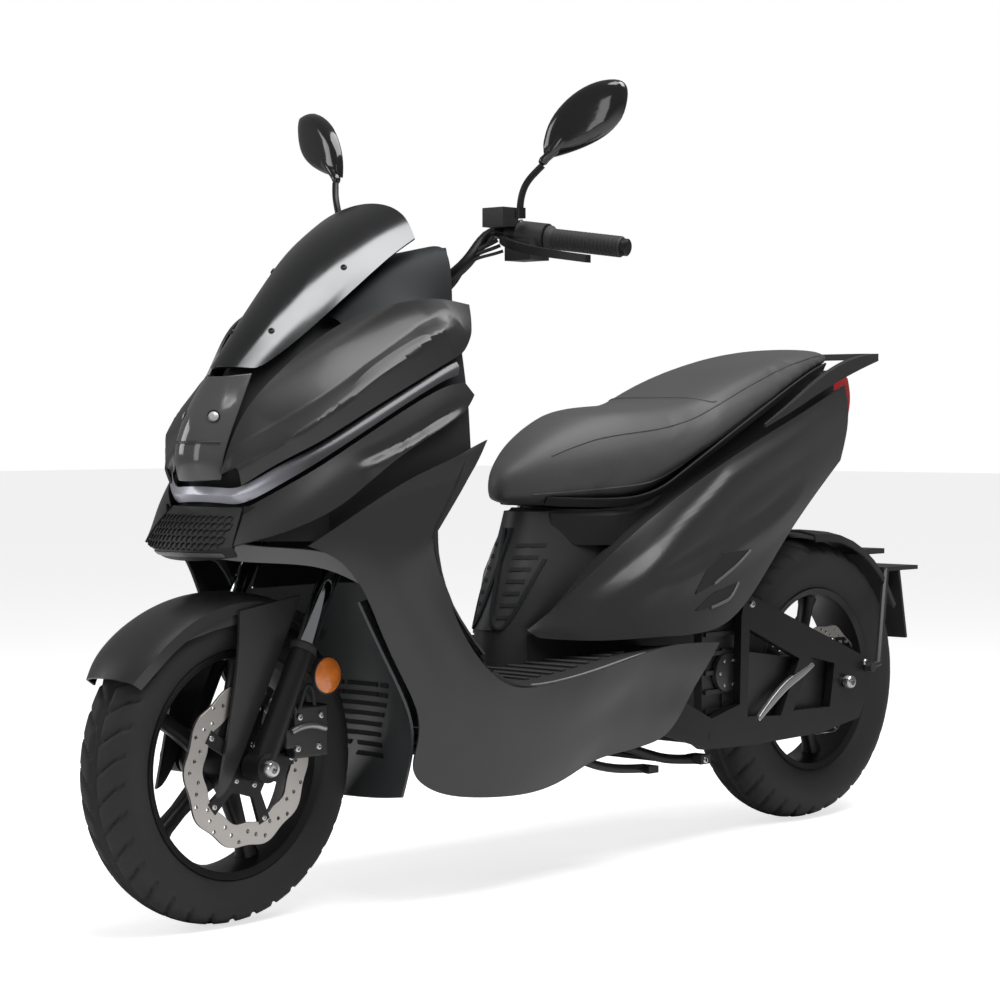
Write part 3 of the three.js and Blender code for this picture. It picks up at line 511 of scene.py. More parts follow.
def turned(name, profile, origin, way, material, body, sides=64, smooth_below=35, joined=None):
    """A turned piece: a line of (radius, height) spun about an axis; zero-radius ends close it."""
    bm = joined or bmesh.new()
    turn = Vector((0, 0, 1)).rotation_difference(Vector(way)).to_matrix()
    rows = []
    closed = len(profile) > 2 and profile[0] == profile[-1]
    for radius, height in profile[:-1] if closed else profile:
        if radius < 1e-7:
            rows.append([bm.verts.new(Vector(origin) + turn @ Vector((0, 0, height)))] * sides)
            continue
        row = []
        for i in range(sides):
            angle = 2 * math.pi * i / sides
            local = Vector((radius * math.cos(angle), radius * math.sin(angle), height))
            row.append(bm.verts.new(Vector(origin) + turn @ local))
        rows.append(row)
    if closed:
        rows.append(rows[0])
    for low, high in zip(rows, rows[1:]):
        for i in range(sides):
            k = (i + 1) % sides
            corners = []
            for corner in (low[i], low[k], high[k], high[i]):
                if corner not in corners:
                    corners.append(corner)
            if len(corners) > 2:
                bm.faces.new(corners)
    if joined is not None:
        return None
    return from_bmesh(name, bm, material, body, smooth_below)


def ring_profile(rows):
    """Closes a turned profile on itself, for rings."""
    return rows + [rows[0]]


def screws(name, places, radius, material, body):
    """Pan-head screws with a round recess, all in one piece; places are (point, outward normal)."""
    bm = bmesh.new()
    depth = radius * 0.5
    profile = [(0, -depth), (radius, -depth), (radius, 0.3 * depth), (0.82 * radius, 0.9 * depth),
               (0.5 * radius, depth), (0.45 * radius, 0.2 * depth), (0, 0.2 * depth)]
    for point, normal in places:
        turned(name, profile, point, normal, material, body, sides=18, joined=bm)
    return from_bmesh(name, bm, material, body, 40)


def ribbon(name, first, second, thickness, material, body, levels=2):
    """A strip between two lines of points, given a thickness."""
    bm = bmesh.new()
    a = [bm.verts.new(p) for p in first]
    b = [bm.verts.new(p) for p in second]
    for i in range(len(a) - 1):
        bm.faces.new((a[i], a[i + 1], b[i + 1], b[i]))
    piece = from_bmesh(name, bm, material, body, 180)
    modifier(piece, "SOLIDIFY", thickness=thickness, offset=0)
    modifier(piece, "BEVEL", width=thickness * 0.25, segments=2, limit_method="ANGLE")
    modifier(piece, "SUBSURF", levels=levels, render_levels=levels)
    return piece


def even(points, count):
    """Points spaced evenly along a smooth line through the given points."""
    def at(t):
        span = len(points) - 1
        i = min(int(t * span), span - 1)
        u = t * span - i
        p = [points[max(i - 1, 0)], points[i], points[i + 1], points[min(i + 2, span)]]
        return 0.5 * ((2 * p[1]) + (p[2] - p[0]) * u + (2 * p[0] - 5 * p[1] + 4 * p[2] - p[3]) * u * u
                      + (3 * p[1] - p[0] - 3 * p[2] + p[3]) * u ** 3)
    return [at(i / (count - 1)) for i in range(count)]


def inlay(name, node, outlines, way, rise, depth, material, cuts=3):
    """Thin shapes laid on a node's surface. Outlines are lines of points; each is cast along way onto the node."""
    bm = bmesh.new()
    for outline in outlines:
        part = bmesh.new()
        part.faces.new([part.verts.new(p) for p in outline])
        bmesh.ops.triangulate(part, faces=part.faces)
        bmesh.ops.subdivide_edges(part, edges=part.edges, cuts=cuts, use_grid_fill=True)
        bmesh.ops.triangulate(part, faces=part.faces)
        mesh = bpy.data.meshes.new("part")
        missed = False
        for corner in part.verts:
            found = hit(node, corner.co - Vector(way).normalized() * 0.4, way)
            if found is None:
                missed = True
                break
            corner.co = found[0] + found[1] * rise
        if not missed:
            bmesh.ops.recalc_face_normals(part, faces=part.faces)
            part.to_mesh(mesh)
            bm.from_mesh(mesh)
        part.free()
        bpy.data.meshes.remove(mesh)
    piece = from_bmesh(name, bm, material, BODY_OF[node], 60)
    modifier(piece, "SOLIDIFY", thickness=depth, offset=0)
    return piece


def strip_on(name, node, points, way, width, rise, depth, material, count=24):
    """A narrow strip laid on a node's surface along a line of points."""
    line = even([Vector(p) for p in points], count)
    outer, inner = [], []
    for i, point in enumerate(line):
        found = hit(node, point - Vector(way).normalized() * 0.4, way)
        if found is None:
            continue
        along = (line[min(i + 1, count - 1)] - line[max(i - 1, 0)]).normalized()
        across = along.cross(found[1]).normalized() * width / 2
        base = found[0] + found[1] * rise
        outer.append(base + across)
        inner.append(base - across)
    return ribbon(name, outer, inner, depth, material, BODY_OF[node], levels=1)


def sheet(name, rows, material, body, thickness):
    """A thin sheet through rows of points; places without a point stay open."""
    bm = bmesh.new()
    grid = [[bm.verts.new(p) if p is not None else None for p in row] for row in rows]
    for low, high in zip(grid, grid[1:]):
        for i in range(len(low) - 1):
            corners = (low[i], low[i + 1], high[i + 1], high[i])
            if None not in corners:
                bm.faces.new(corners)
    loose = [v for v in bm.verts if not v.link_faces]
    bmesh.ops.delete(bm, geom=loose, context="VERTS")
    piece = from_bmesh(name, bm, material, body, 180)
    modifier(piece, "SOLIDIFY", thickness=thickness, offset=0)
    return piece


# ---------------------------------------------------------------- wheels
TREAD_PITCHES = 34
TREAD_STEPS = 10
GROOVE_DEPTH = 0.0045
GROOVE_SHARE = 0.2
SPOKES = 5
SPOKE_PHASE = math.radians(3)


def tyre(node):
    """A tyre spun from a rounded section, with slanted grooves cut in its shoulders."""
    low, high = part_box(node)
    centre = (low + high) / 2
    radius = (high.z - low.z) / 2
    half_width = (high.x - low.x) / 2
    rim_low, rim_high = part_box(node.replace("tyre", "rim"))
    bead = (rim_high.z - rim_low.z) / 2 - 4 * MM
    height = radius - bead
    bead_half = half_width * 0.67
    half = [(bead, bead_half), (bead + 0.12 * height, bead_half + 0.5 * (half_width - bead_half)),
            (bead + 0.32 * height, bead_half + 0.85 * (half_width - bead_half)),
            (bead + 0.56 * height, half_width), (bead + 0.76 * height, 0.88 * half_width),
            (bead + 0.9 * height, 0.64 * half_width), (bead + 0.975 * height, 0.33 * half_width), (radius, 0)]
    outer = [Vector((x, r, 0)) for r, x in half]
    outer = even(outer + [Vector((-p.x, p.y, 0)) for p in reversed(outer[:-1])], 49)
    inner = [(bead, -bead_half + 8 * MM), (bead + 0.55 * height, -half_width + 9 * MM), (radius - 12 * MM, 0),
             (bead + 0.55 * height, half_width - 9 * MM), (bead, bead_half - 8 * MM)]
    profile = [(p.y, p.x) for p in outer] + inner
    around = TREAD_PITCHES * TREAD_STEPS
    bm = bmesh.new()
    rows = []
    for step in range(around):
        angle = 2 * math.pi * step / around
        row = []
        for r, x in profile:
            reach = abs(x) / half_width
            share = (step / TREAD_STEPS + 1.1 * reach + (0.5 if x < 0 else 0)) % 1
            on_tread = r > bead + 0.66 * height and 0.14 < reach < 0.88
            depth = GROOVE_DEPTH if on_tread and share < GROOVE_SHARE else 0
            if r > bead + 0.9 * height and 0.045 < reach < 0.13:
                depth = GROOVE_DEPTH
            across = (r - depth) * math.cos(angle)
            up = (r - depth) * math.sin(angle)
            row.append(bm.verts.new(centre + Vector((x, across, up))))
        rows.append(row)
    for a, b in zip(rows, rows[1:] + rows[:1]):
        for i in range(len(profile)):
            k = (i + 1) % len(profile)
            bm.faces.new((a[i], a[k], b[k], b[i]))
    piece = from_bmesh(f"{node}_tread", bm, TYRE, BODY_OF[node], 50)
    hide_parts(node)


def rim(node, hub_radius):
    """A cast rim: rolled lips, dropped well, hub and five tapered spokes."""
    low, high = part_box(node)
    centre = (low + high) / 2
    radius = (high.z - low.z) / 2
    hub_half = (high.x - low.x) / 2
    tyre_low, tyre_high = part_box(node.replace("rim", "tyre"))
    lip = (tyre_high.x - tyre_low.x) / 2 * 0.67 + 6 * MM
    bm = bmesh.new()
    barrel = [(radius, lip), (radius - 1 * MM, lip + 1.5 * MM), (radius - 5 * MM, lip), (radius - 12 * MM, lip - 3 * MM),
              (radius - 17 * MM, 0.4 * lip), (radius - 18 * MM, 0), (radius - 17 * MM, -0.4 * lip),
              (radius - 12 * MM, 3 * MM - lip), (radius - 5 * MM, -lip), (radius - 1 * MM, -lip - 1.5 * MM),
              (radius, -lip), (radius - 4 * MM, 2 * MM - lip), (radius - 11 * MM, -0.4 * lip),
              (radius - 12 * MM, 0), (radius - 11 * MM, 0.4 * lip), (radius - 4 * MM, lip - 2 * MM)]
    turned("rim", ring_profile(barrel), centre, (1, 0, 0), BLACK_METAL, "", sides=96, joined=bm)
    bore = 11.5 * MM
    hub = [(bore, -hub_half), (hub_radius * 0.8, -hub_half), (hub_radius, -0.75 * hub_half),
           (hub_radius * 1.15, -0.3 * hub_half), (hub_radius * 1.15, 0.3 * hub_half), (hub_radius, 0.75 * hub_half),
           (hub_radius * 0.8, hub_half), (bore, hub_half)]
    turned("hub", ring_profile(hub), centre, (1, 0, 0), BLACK_METAL, "", sides=48, joined=bm)
    bmesh.ops.remove_doubles(bm, verts=bm.verts, dist=1e-6)
    sections = [(0.8 * hub_radius, 20, 17), (0.3 * radius, 15, 14), (0.6 * radius, 11, 12), (0.8 * radius, 12, 13),
                (0.93 * radius, 17, 18)]
    for spoke in range(SPOKES):
        angle = SPOKE_PHASE + 2 * math.pi * spoke / SPOKES
        along = Vector((0, math.cos(angle), math.sin(angle)))
        side = Vector((0, -math.sin(angle), math.cos(angle)))
        rings = []
        for distance, wide, thick in sections:
            ring = []
            for turn in range(12):
                a = 2 * math.pi * (turn + 0.5) / 12
                ca, sa = math.cos(a), math.sin(a)
                ca, sa = math.copysign(abs(ca) ** 0.6, ca), math.copysign(abs(sa) ** 0.6, sa)
                ring.append(bm.verts.new(centre + along * distance + side * ca * wide * MM
                                         + Vector((sa * thick * MM, 0, 0))))
            rings.append(ring)
        for a, b in zip(rings, rings[1:]):
            for i in range(12):
                bm.faces.new((a[i], a[(i + 1) % 12], b[(i + 1) % 12], b[i]))
        bm.faces.new(rings[0])
        bm.faces.new(rings[-1])
    piece = from_bmesh(f"{node}_cast", bm, BLACK_METAL, BODY_OF[node], 48)
    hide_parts(node)


def flat_shape(name, loops, thickness, origin, material, body, bevel=0.0004):
    """A plate across X cut to loops of (y, z) about an origin; inner loops are holes."""
    curve = bpy.data.curves.new(name, "CURVE")
    curve.dimensions = "2D"
    curve.fill_mode = "BOTH"
    curve.extrude = thickness / 2 - bevel
    curve.bevel_depth = bevel
    curve.bevel_resolution = 1
    for loop in loops:
        spline = curve.splines.new("POLY")
        spline.points.add(len(loop) - 1)
        for point, (y, z) in zip(spline.points, loop):
            point.co = (y, z, 0, 1)
        spline.use_cyclic_u = True
    stand = Matrix(((0, 0, 1, 0), (1, 0, 0, 0), (0, 1, 0, 0), (0, 0, 0, 1)))
    holder = bpy.data.objects.new(name, curve)
    bpy.context.scene.collection.objects.link(holder)
    bpy.context.view_layer.update()
    mesh = bpy.data.meshes.new_from_object(holder.evaluated_get(bpy.context.evaluated_depsgraph_get()))
    bpy.data.objects.remove(holder)
    mesh.transform(Matrix.Translation(origin) @ stand)
    mesh.materials.clear()
    return link(name, mesh, material, body)


def round_loop(radius, count, waves=0, wave=0.0, centre=(0, 0)):
    """A circle of points, with an optional wavy edge."""
    loop = []
    for i in range(count):
        angle = 2 * math.pi * i / count
        r = radius + wave * math.cos(waves * angle)
        loop.append((centre[0] + r * math.cos(angle), centre[1] + r * math.sin(angle)))
    return loop


def brake_disc(name, centre, radius, inner, thickness, body, arms=5):
    """A wave disc with drilled holes on a black carrier."""
    wave = 0.024 * radius
    loops = [round_loop(radius - wave, 200, 10, wave), round_loop(inner, 120, 10, wave * 0.8)]
    band = radius - inner
    for i in range(40):
        angle = 2 * math.pi * i / 40
        r = inner + band * (0.3, 0.5, 0.72)[i % 3]
        loops.append(round_loop(0.028 * radius, 12, centre=(r * math.cos(angle), r * math.sin(angle))))
    ring = flat_shape(name, loops, thickness, centre, DISC_STEEL, body)
    carrier = []
    hub = 0.3 * radius
    for i in range(arms):
        start = 2 * math.pi * i / arms + SPOKE_PHASE
        for share, reach in ((-0.5, hub * 1.15), (-0.14, hub * 1.3), (-0.09, inner * 1.07), (0.09, inner * 1.07),
                             (0.14, hub * 1.3)):
            angle = start + share * 2 * math.pi / arms
            carrier.append((reach * math.cos(angle), reach * math.sin(angle)))
    outline = [carrier, round_loop(0.13 * radius, 32)]
    flat_shape(f"{name}_carrier", outline, thickness * 1.5, centre, BLACK_METAL, body)
    rivets = []
    for i in range(arms):
        angle = 2 * math.pi * i / arms + SPOKE_PHASE
        for reach in (inner * 1.0, hub * 0.85):
            offset = Vector((thickness * 0.75, reach * math.cos(angle), reach * math.sin(angle)))
            rivets.append((centre + offset, (1, 0, 0)))
    screws(f"{name}_rivets", rivets, 4.5 * MM, ZINC, body)
    return ring


def wheels():
    tyre("front_tyre")
    tyre("rear_tyre")
    rim("front_rim", 34 * MM)
    rim("rear_rim", 44 * MM)
    low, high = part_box("front_brake_disc")
    centre = (low + high) / 2
    radius = (high.z - low.z) / 2
    disc = brake_disc("front_wave_disc", centre, radius, 0.7 * radius, high.x - low.x, "front_wheel")
    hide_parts("front_brake_disc")
    hub_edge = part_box("rear_rim")[1].x
    rear = middle("rear_axle")
    brake_disc("rear_wave_disc", Vector((hub_edge + 5 * MM, rear.y, rear.z)), 0.85 * radius, 0.62 * radius,
               4 * MM, "rear_wheel")
    for node in ("front_axle", "rear_axle"):
        skin(node, ZINC, edge=0.0015, levels=2)
    ends = []
    for node in ("front_axle", "rear_axle"):
        low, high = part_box(node)
        mid = (low + high) / 2
        ends.append((node, Vector((high.x, mid.y, mid.z)), Vector((low.x, mid.y, mid.z))))
    for node, left, right in ends:
        screws(f"{node}_nuts", [(left, (1, 0, 0)), (right, (-1, 0, 0))], 13 * MM, ZINC, BODY_OF[node])


# ---------------------------------------------------------------- fork
def fork():
    for side in ("left", "right"):
        skin(f"fork_tube_{side}", CHROME, edge=0.0015)
        skin(f"fork_leg_{side}", BLACK_METAL, edge=0.0015)
        low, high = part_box(f"fork_leg_{side}")
        top = Vector(((low.x + high.x) / 2, high.y, high.z))
        tube_low, tube_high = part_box(f"fork_tube_{side}")
        tube_radius = (tube_high.x - tube_low.x) / 2
        leg_top = top - Vector((0, 19 * MM * STEERING_AXIS.z, 19 * MM * STEERING_AXIS.y))
        seal = [(tube_radius + 0.6 * MM, -4 * MM), (tube_radius + 4.5 * MM, -4 * MM), (tube_radius + 4.5 * MM, 5 * MM),
                (tube_radius + 0.6 * MM, 9 * MM)]
        turned(f"dust_seal_{side}", ring_profile(seal), leg_top, STEERING_AXIS, RUBBER, "fork_lower", sides=40)
    skin("steering_stem", BLACK_METAL, edge=0.002, levels=1)
    machined("front_caliper", CAST_ALLOY, edge=0.004)
    caliper_details()
    skin("front_fender", BODYWORK, edge=0.001, levels=2, limit=50)
    reflectors()


def caliper_details():
    """Bolts, bridge and hose of the front brake."""
    places = []
    for fy, fz in ((0.25, 0.2), (0.75, 0.2), (0.3, 0.8), (0.8, 0.8)):
        found = hit("front_caliper", spot("front_caliper", 2, fy, fz), (-1, 0, 0))
        if found:
            places.append(found)
    screws("caliper_bolts", places, 6 * MM, ZINC, "fork_lower")
    bridge = [spot("front_caliper", 1.02, fy, 0.5 + 0.12 * math.sin(math.pi * fy)) for fy in (0.1, 0.35, 0.65, 0.9)]
    bent_tube("caliper_bridge", bridge, 5 * MM, LIGHT_ALLOY, "fork_lower")
    leg = middle("fork_leg_left")
    behind = Vector((0, 30 * MM, 0))
    hose = [spot("front_caliper", 0.9, 0.7, 0.98), spot("front_caliper", 1.05, 0.5, 1.4),
            leg + behind, leg + behind + STEERING_AXIS * 0.09]
    bent_tube("front_brake_hose", hose, 3.2 * MM, RUBBER, "fork_lower")


def reflectors():
    """A round amber reflector on a small bracket beside each fork leg."""
    for side, s in (("left", 1), ("right", -1)):
        leg_low, leg_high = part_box(f"fork_leg_{side}")
        leg_x = s * abs(leg_low.x + leg_high.x) / 2
        top = Vector((leg_x + s * 12 * MM, leg_high.y + 22 * MM, leg_high.z - 50 * MM))
        radius = 29 * MM
        dome = [(0, 6 * MM), (0.5 * radius, 5.4 * MM), (0.82 * radius, 3.6 * MM), (0.93 * radius, 1 * MM),
                (0.93 * radius, -3 * MM), (0, -3 * MM)]
        turned(f"reflector_{side}", dome, top, (s, 0, 0), AMBER_LENS, "fork_lower", sides=48)
        cup = [(0, -6 * MM), (radius, -6 * MM), (radius, 1.5 * MM), (0.95 * radius, 2.2 * MM), (0.92 * radius, 0),
               (0, -1 * MM)]
        turned(f"reflector_cup_{side}", cup, top, (s, 0, 0), DARK_PLASTIC, "fork_lower", sides=48)
        stay = [top - Vector((s * 5 * MM, 0, 0)), top + Vector((-s * 9 * MM, -24 * MM, 2 * MM)),
                Vector((leg_x, leg_high.y - 40 * MM, leg_high.z - 40 * MM))]
        bent_tube(f"reflector_stay_{side}", stay, 4 * MM, BLACK_METAL, "fork_lower")


# ---------------------------------------------------------------- bodywork
def panels():
    upper = ((-0.80, 0.675), (-0.70, 0.748), (-0.61, 0.812), (-0.515, 0.872), (-0.46, 0.897))
    for side in ("left", "right"):
        lined_panel(f"upper_fairing_{side}", BODYWORK, [(upper, 19 * MM, 26 * MM, 60 * MM)], (0.75, -0.6, 0.2))
        fin = ((-0.66, 0.675), (-0.585, 0.708), (-0.4665, 0.768))
        lined_panel(f"mid_fairing_{side}", BODYWORK, [(fin, 9 * MM, 10 * MM, 45 * MM)], (0.85, -0.5, 0))
        fin = ((-0.68, 0.645), (-0.60, 0.668), (-0.4325, 0.712))
        lined_panel(f"leg_shield_{side}", BODYWORK, [(fin, 6 * MM, 10 * MM, 35 * MM)])
        brow = ((-0.06, 0.44), (0.02, 0.50), (0.12, 0.575), (0.25, 0.655), (0.40, 0.705), (0.66, 0.79))
        waist = ((0.0, 0.465), (0.18, 0.515), (0.37, 0.571), (0.52, 0.63))
        lined_panel(f"tail_fairing_{side}", BODYWORK, [(brow, 7 * MM, 18 * MM, 50 * MM),
                                                      (waist, 6 * MM, 16 * MM, 45 * MM)])
    skin("light_bar", LIGHT_BAR, edge=0.001, levels=2, limit=50)
    skin("nose_grille", DARK_PLASTIC, edge=0.001, levels=2, limit=50)
    skin("headlight", LENS, edge=0.002, levels=2, limit=50)
    skin("windscreen", SCREEN, edge=0.001, levels=2, limit=50)
    skin("dash_hood", DASH_SIDE, edge=0.001, levels=2, limit=50)
    skin("inner_leg_shield", DARK_PLASTIC, edge=0.001, levels=2, limit=50)
    skin("lower_cowl", COWL_GREY, edge=0.001, levels=2, limit=50)
    skin("floorboard", DARK_PLASTIC, edge=0.001, levels=2, limit=50)
    skin("under_seat_panel", DARK_PLASTIC, edge=0.001, levels=2, limit=50)
    skin("grab_rail", DARK_PLASTIC, edge=0.002, levels=2, limit=30)
    skin("tail_light", RED_LENS, edge=0.004, levels=2, limit=30)
    machined("display", GLOSS_BLACK, edge=0.003)
    machined("battery_pack", DARK_PLASTIC, edge=0.004)
    machined("controller", CAST_ALLOY, edge=0.003)
    machined("main_frame", BLACK_METAL, edge=0.001)
    machined("rear_hugger", DARK_PLASTIC, edge=0.001)
    skin("ignition_knob", DARK_PLASTIC, edge=0.002)
    low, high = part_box("ignition_knob")
    knob = Vector(((low.x + high.x) / 2, low.y, (low.z + high.z) / 2))
    bore = (high.x - low.x) / 2 + 1 * MM
    barrel = [(bore, -24 * MM), (bore, 4 * MM), (bore + 3 * MM, 5 * MM), (bore + 5 * MM, 3 * MM), (bore + 5 * MM, -24 * MM)]
    turned("ignition_barrel", ring_profile(barrel), knob, (0, 1, 0), CAST_ALLOY, "chassis")


def nose_liner():
    """An inner shell behind the nose panels, so that no joint between them is open; its near-black colour is painted
    shade in the hollow behind them.
    """
    nodes = ["upper_fairing_left", "upper_fairing_right", "mid_fairing_left", "mid_fairing_right", "light_bar",
             "leg_shield_left", "leg_shield_right", "nose_grille", "headlight", "windscreen", "dash_hood"]
    trees = [tree_of(node) for node in nodes]
    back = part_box("upper_fairing_left")[1].y
    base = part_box("nose_grille")[0].z + 4 * MM
    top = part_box("upper_fairing_left")[1].z - 8 * MM
    levels, columns = 34, 49
    inset = 13 * MM
    spread = math.radians(96)
    reach = [[None] * columns for _ in range(levels)]
    ways = []
    for j in range(columns):
        angle = spread * (2 * j / (columns - 1) - 1)
        ways.append(Vector((math.sin(angle), -math.cos(angle), 0)))
    for i in range(levels):
        centre = Vector((0, back, base + (top - base) * i / (levels - 1)))
        for j, way in enumerate(ways):
            found = [tree.ray_cast(centre + way * 0.9, -way)[0] for tree in trees]
            found = [(place - centre).dot(way) for place in found if place is not None]
            if found and max(found) > 0.1:
                reach[i][j] = max(found)
    for j in range(columns):
        known = [i for i in range(levels) if reach[i][j] is not None]
        for a, b in zip(known, known[1:]):
            for i in range(a + 1, b):
                reach[i][j] = reach[a][j] + (reach[b][j] - reach[a][j]) * (i - a) / (b - a)
    rows = []
    for i in range(levels):
        row = []
        for j, way in enumerate(ways):
            around = [reach[m][n] for m in range(max(i - 1, 0), min(i + 2, levels))
                      for n in range(max(j - 1, 0), min(j + 2, columns)) if reach[m][n] is not None]
            if reach[i][j] is None:
                row.append(None)
                continue
            centre = Vector((0, back, base + (top - base) * i / (levels - 1)))
            row.append(centre + way * (min(around) - inset))
        rows.append(row)
    # Near black: painted shade in the hollow behind the nose panels.
    sheet("nose_liner", rows, PAINTED_SHADE_BLACK, "chassis", 2 * MM)


def leg_liner():
    """A wall in front of the rider's leg panel, closing its side joints and the step down to the floor; its near-black
    colour is painted shade in the hollow behind them.
    """
    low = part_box("inner_leg_shield")[0]
    floor_low, floor_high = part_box("floorboard")
    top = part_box("leg_shield_left")[1].z - 20 * MM
    levels, columns = 18, 25
    lead = 9 * MM
    rows = [[]]
    for j in range(columns):
        x = 150 * MM * (2 * j / (columns - 1) - 1)
        rows[0].append(Vector((x, floor_low.y + 20 * MM, floor_low.z - 2 * MM)))
    for i in range(levels):
        z = low.z - 14 * MM + (top - low.z) * i / (levels - 1)
        middle_hit = hit("inner_leg_shield", (0, low.y - 0.2, max(z, low.z + 8 * MM)), (0, 1, 0))
        edge = middle_hit[0]
        right, left = [], []
        for j in range(1, columns // 2 + 1):
            x = j * 21 * MM
            found = hit("inner_leg_shield", (x, low.y - 0.2, max(z, low.z + 8 * MM)), (0, 1, 0))
            edge = found[0] if found else edge
            wall = hit("leg_shield_left", (60 * MM, edge.y - lead, z), (1, 0, 0))
            reach = wall[0].x + 5 * MM if wall else edge.x + 8 * MM
            right.append(Vector((min(x, reach), edge.y - lead, z)))
            left.append(Vector((-min(x, reach), edge.y - lead, z)))
        centre = Vector((0, middle_hit[0].y - lead, z))
        rows.append(left[::-1] + [centre] + right)
    # Near black: painted shade in the hollow behind the leg panel.
    sheet("leg_liner", rows, PAINTED_SHADE_BLACK, "chassis", 2 * MM)


def tail_shelves():
    """A shelf inside the top edge of each tail fairing, so that the joint along the seat is not open; its near-black
    colour is painted shade under the seat.
    """
    low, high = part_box("tail_fairing_left")
    seat_low, seat_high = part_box("seat")
    stations = 22
    for side, s in (("left", 1), ("right", -1)):
        rows = []
        for i in range(stations):
            y = low.y + 50 * MM + (high.y - 65 * MM - low.y) * i / (stations - 1)
            crest = None
            for k in range(45):
                x = low.x + (high.x - low.x) * k / 44
                found = hit(f"tail_fairing_{side}", (s * x, y, high.z + 0.1), (0, 0, -1))
                if found and (crest is None or found[0].z > crest.z):
                    crest = found[0]
            if crest is None:
                continue
            under = hit("seat", (0, max(seat_low.y + 60 * MM, min(y, seat_high.y - 4 * MM)), seat_low.z - 0.3), (0, 0, 1))
            deep = min(crest.z - 22 * MM, under[0].z - 14 * MM)
            rows.append([Vector((crest.x, y, crest.z - 8 * MM)), Vector((crest.x - s * 10 * MM, y, crest.z - 14 * MM)),
                         Vector((crest.x - s * 34 * MM, y, deep)), Vector((s * 55 * MM, y, deep - 6 * MM))])
        # Near black: painted shade under the seat's edge.
        sheet(f"tail_shelf_{side}", rows, PAINTED_SHADE_BLACK, "chassis", 2 * MM)


def nose_cheeks():
    """Cheeks under the nose, from the grille back to the front arms of the leg shields; their near-black colour is
    painted shade under the nose.
    """
    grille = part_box("nose_grille")[1]
    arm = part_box("leg_shield_left")[0]
    mid_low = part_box("mid_fairing_left")[0].z
    for side, s in (("left", 1), ("right", -1)):
        rows = []
        for z in (mid_low + 7 * MM, mid_low + 30 * MM, mid_low + 58 * MM):
            rows.append([Vector((s * x, y, z)) for x, y in (
                (grille.x - 8 * MM, grille.y - 8 * MM), (grille.x + 16 * MM, grille.y + 14 * MM),
                (arm.x - 6 * MM, arm.y + 6 * MM), (arm.x + 6 * MM, arm.y + 40 * MM))])
        # Near black: painted shade under the nose.
        sheet(f"nose_cheek_{side}", rows, PAINTED_SHADE_BLACK, "chassis", 2 * MM)


def pedestal_foot():
    """The pedestal's lower rim, carried down to the floor."""
    low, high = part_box("under_seat_panel")
    base = Vector((0, (low.y + high.y) / 2, low.z + 6 * MM))
    rim, foot = [], []
    for j in range(41):
        angle = math.radians(105) * (2 * j / 40 - 1)
        way = Vector((math.sin(angle), -math.cos(angle), 0))
        found = hit("under_seat_panel", base + way * 0.5, -way)
        if found:
            rim.append(found[0] - way * 2 * MM)
            foot.append(Vector((found[0].x, found[0].y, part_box("floorboard")[0].z + 8 * MM)) + way * 3 * MM)
    sheet("pedestal_foot", [rim, foot], DARK_PLASTIC, "chassis", 3 * MM)


def tail_core():
    """The tub under the seat, between the tail fairings, and the skirts below it; their near-black colour is painted
    shade under the seat and the body.
    """
    seat_low, seat_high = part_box("seat")
    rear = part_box("tail_light")[0].y - 4 * MM
    start = seat_low.y + 0.09
    stations = 16
    bm = bmesh.new()
    rings = []
    for i in range(stations):
        y = start + (rear - start) * i / (stations - 1)
        under = hit("seat", (0, min(y, seat_high.y - 4 * MM), seat_low.z - 0.3), (0, 0, 1))[0]
        half = min(104 * MM, 50 * MM + 0.5 * (y - start), 92 * MM + 0.3 * (rear - y))
        high = under.z - 9 * MM
        deep = 60 * MM
        ring = [(half - 12 * MM, high), (half, high - 10 * MM), (half, high - deep), (-half, high - deep),
                (-half, high - 10 * MM), (12 * MM - half, high)]
        rings.append([bm.verts.new(Vector((x, y, z))) for x, z in ring])
    for a, b in zip(rings, rings[1:]):
        for i in range(6):
            bm.faces.new((a[i], a[(i + 1) % 6], b[(i + 1) % 6], b[i]))
    bm.faces.new(rings[0])
    bm.faces.new(rings[-1])
    # Near black: painted shade under the seat.
    from_bmesh("tail_tub", bm, PAINTED_SHADE_BLACK, "chassis", 40)
    tail_shelves()
    leg_liner()
    nose_cheeks()
    pedestal_foot()
    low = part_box("tail_fairing_left")[0]
    floor_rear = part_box("swing_arm")[0].y - 20 * MM
    for side, s in (("left", 1), ("right", -1)):
        rows = []
        for z in (low.z + 12 * MM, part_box("floorboard")[0].z + 2 * MM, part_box("battery_pack")[0].z):
            row = []
            for k in range(9):
                y = low.y + 8 * MM + (floor_rear - low.y) * k / 8
                x = min(118 * MM, 50 * MM + 0.45 * (y - low.y))
                row.append(Vector((s * x, y, z)))
            rows.append(row)
        # Near black: painted shade under the body.
        sheet(f"belly_skirt_{side}", rows, PAINTED_SHADE_BLACK, "chassis", 2 * MM)


def cowl_slots():
    """Three columns of level slots in each side of the lower cowl, low down where it wraps round to the side."""
    outlines = {1: [], -1: []}
    rows = 8
    half_height = 3.4 * MM
    for s in SIDES:
        along = Vector((0.6 * s, 0.8, 0))
        for fx, fy, width in ((0.47, 0.36, 18 * MM), (0.59, 0.53, 30 * MM), (0.72, 0.71, 24 * MM)):
            for row in range(rows):
                centre = spot("lower_cowl", 0.5 + s * fx / 2, fy, 0.2 + 0.32 * row / (rows - 1))
                up = Vector((0, 0, half_height))
                side = along * width / 2
                outlines[s].append([centre - side - up, centre + side - up, centre + side + up, centre - side + up])
    for side, s in (("left", 1), ("right", -1)):
        # Each slot is a flat near-black patch on the cowl: painted shade where the opening would be.
        inlay(f"cowl_slots_{side}", "lower_cowl", outlines[s], (-0.8 * s, 0.6, 0), 0.0004, 0.003, PAINTED_SHADE_BLACK, cuts=3)


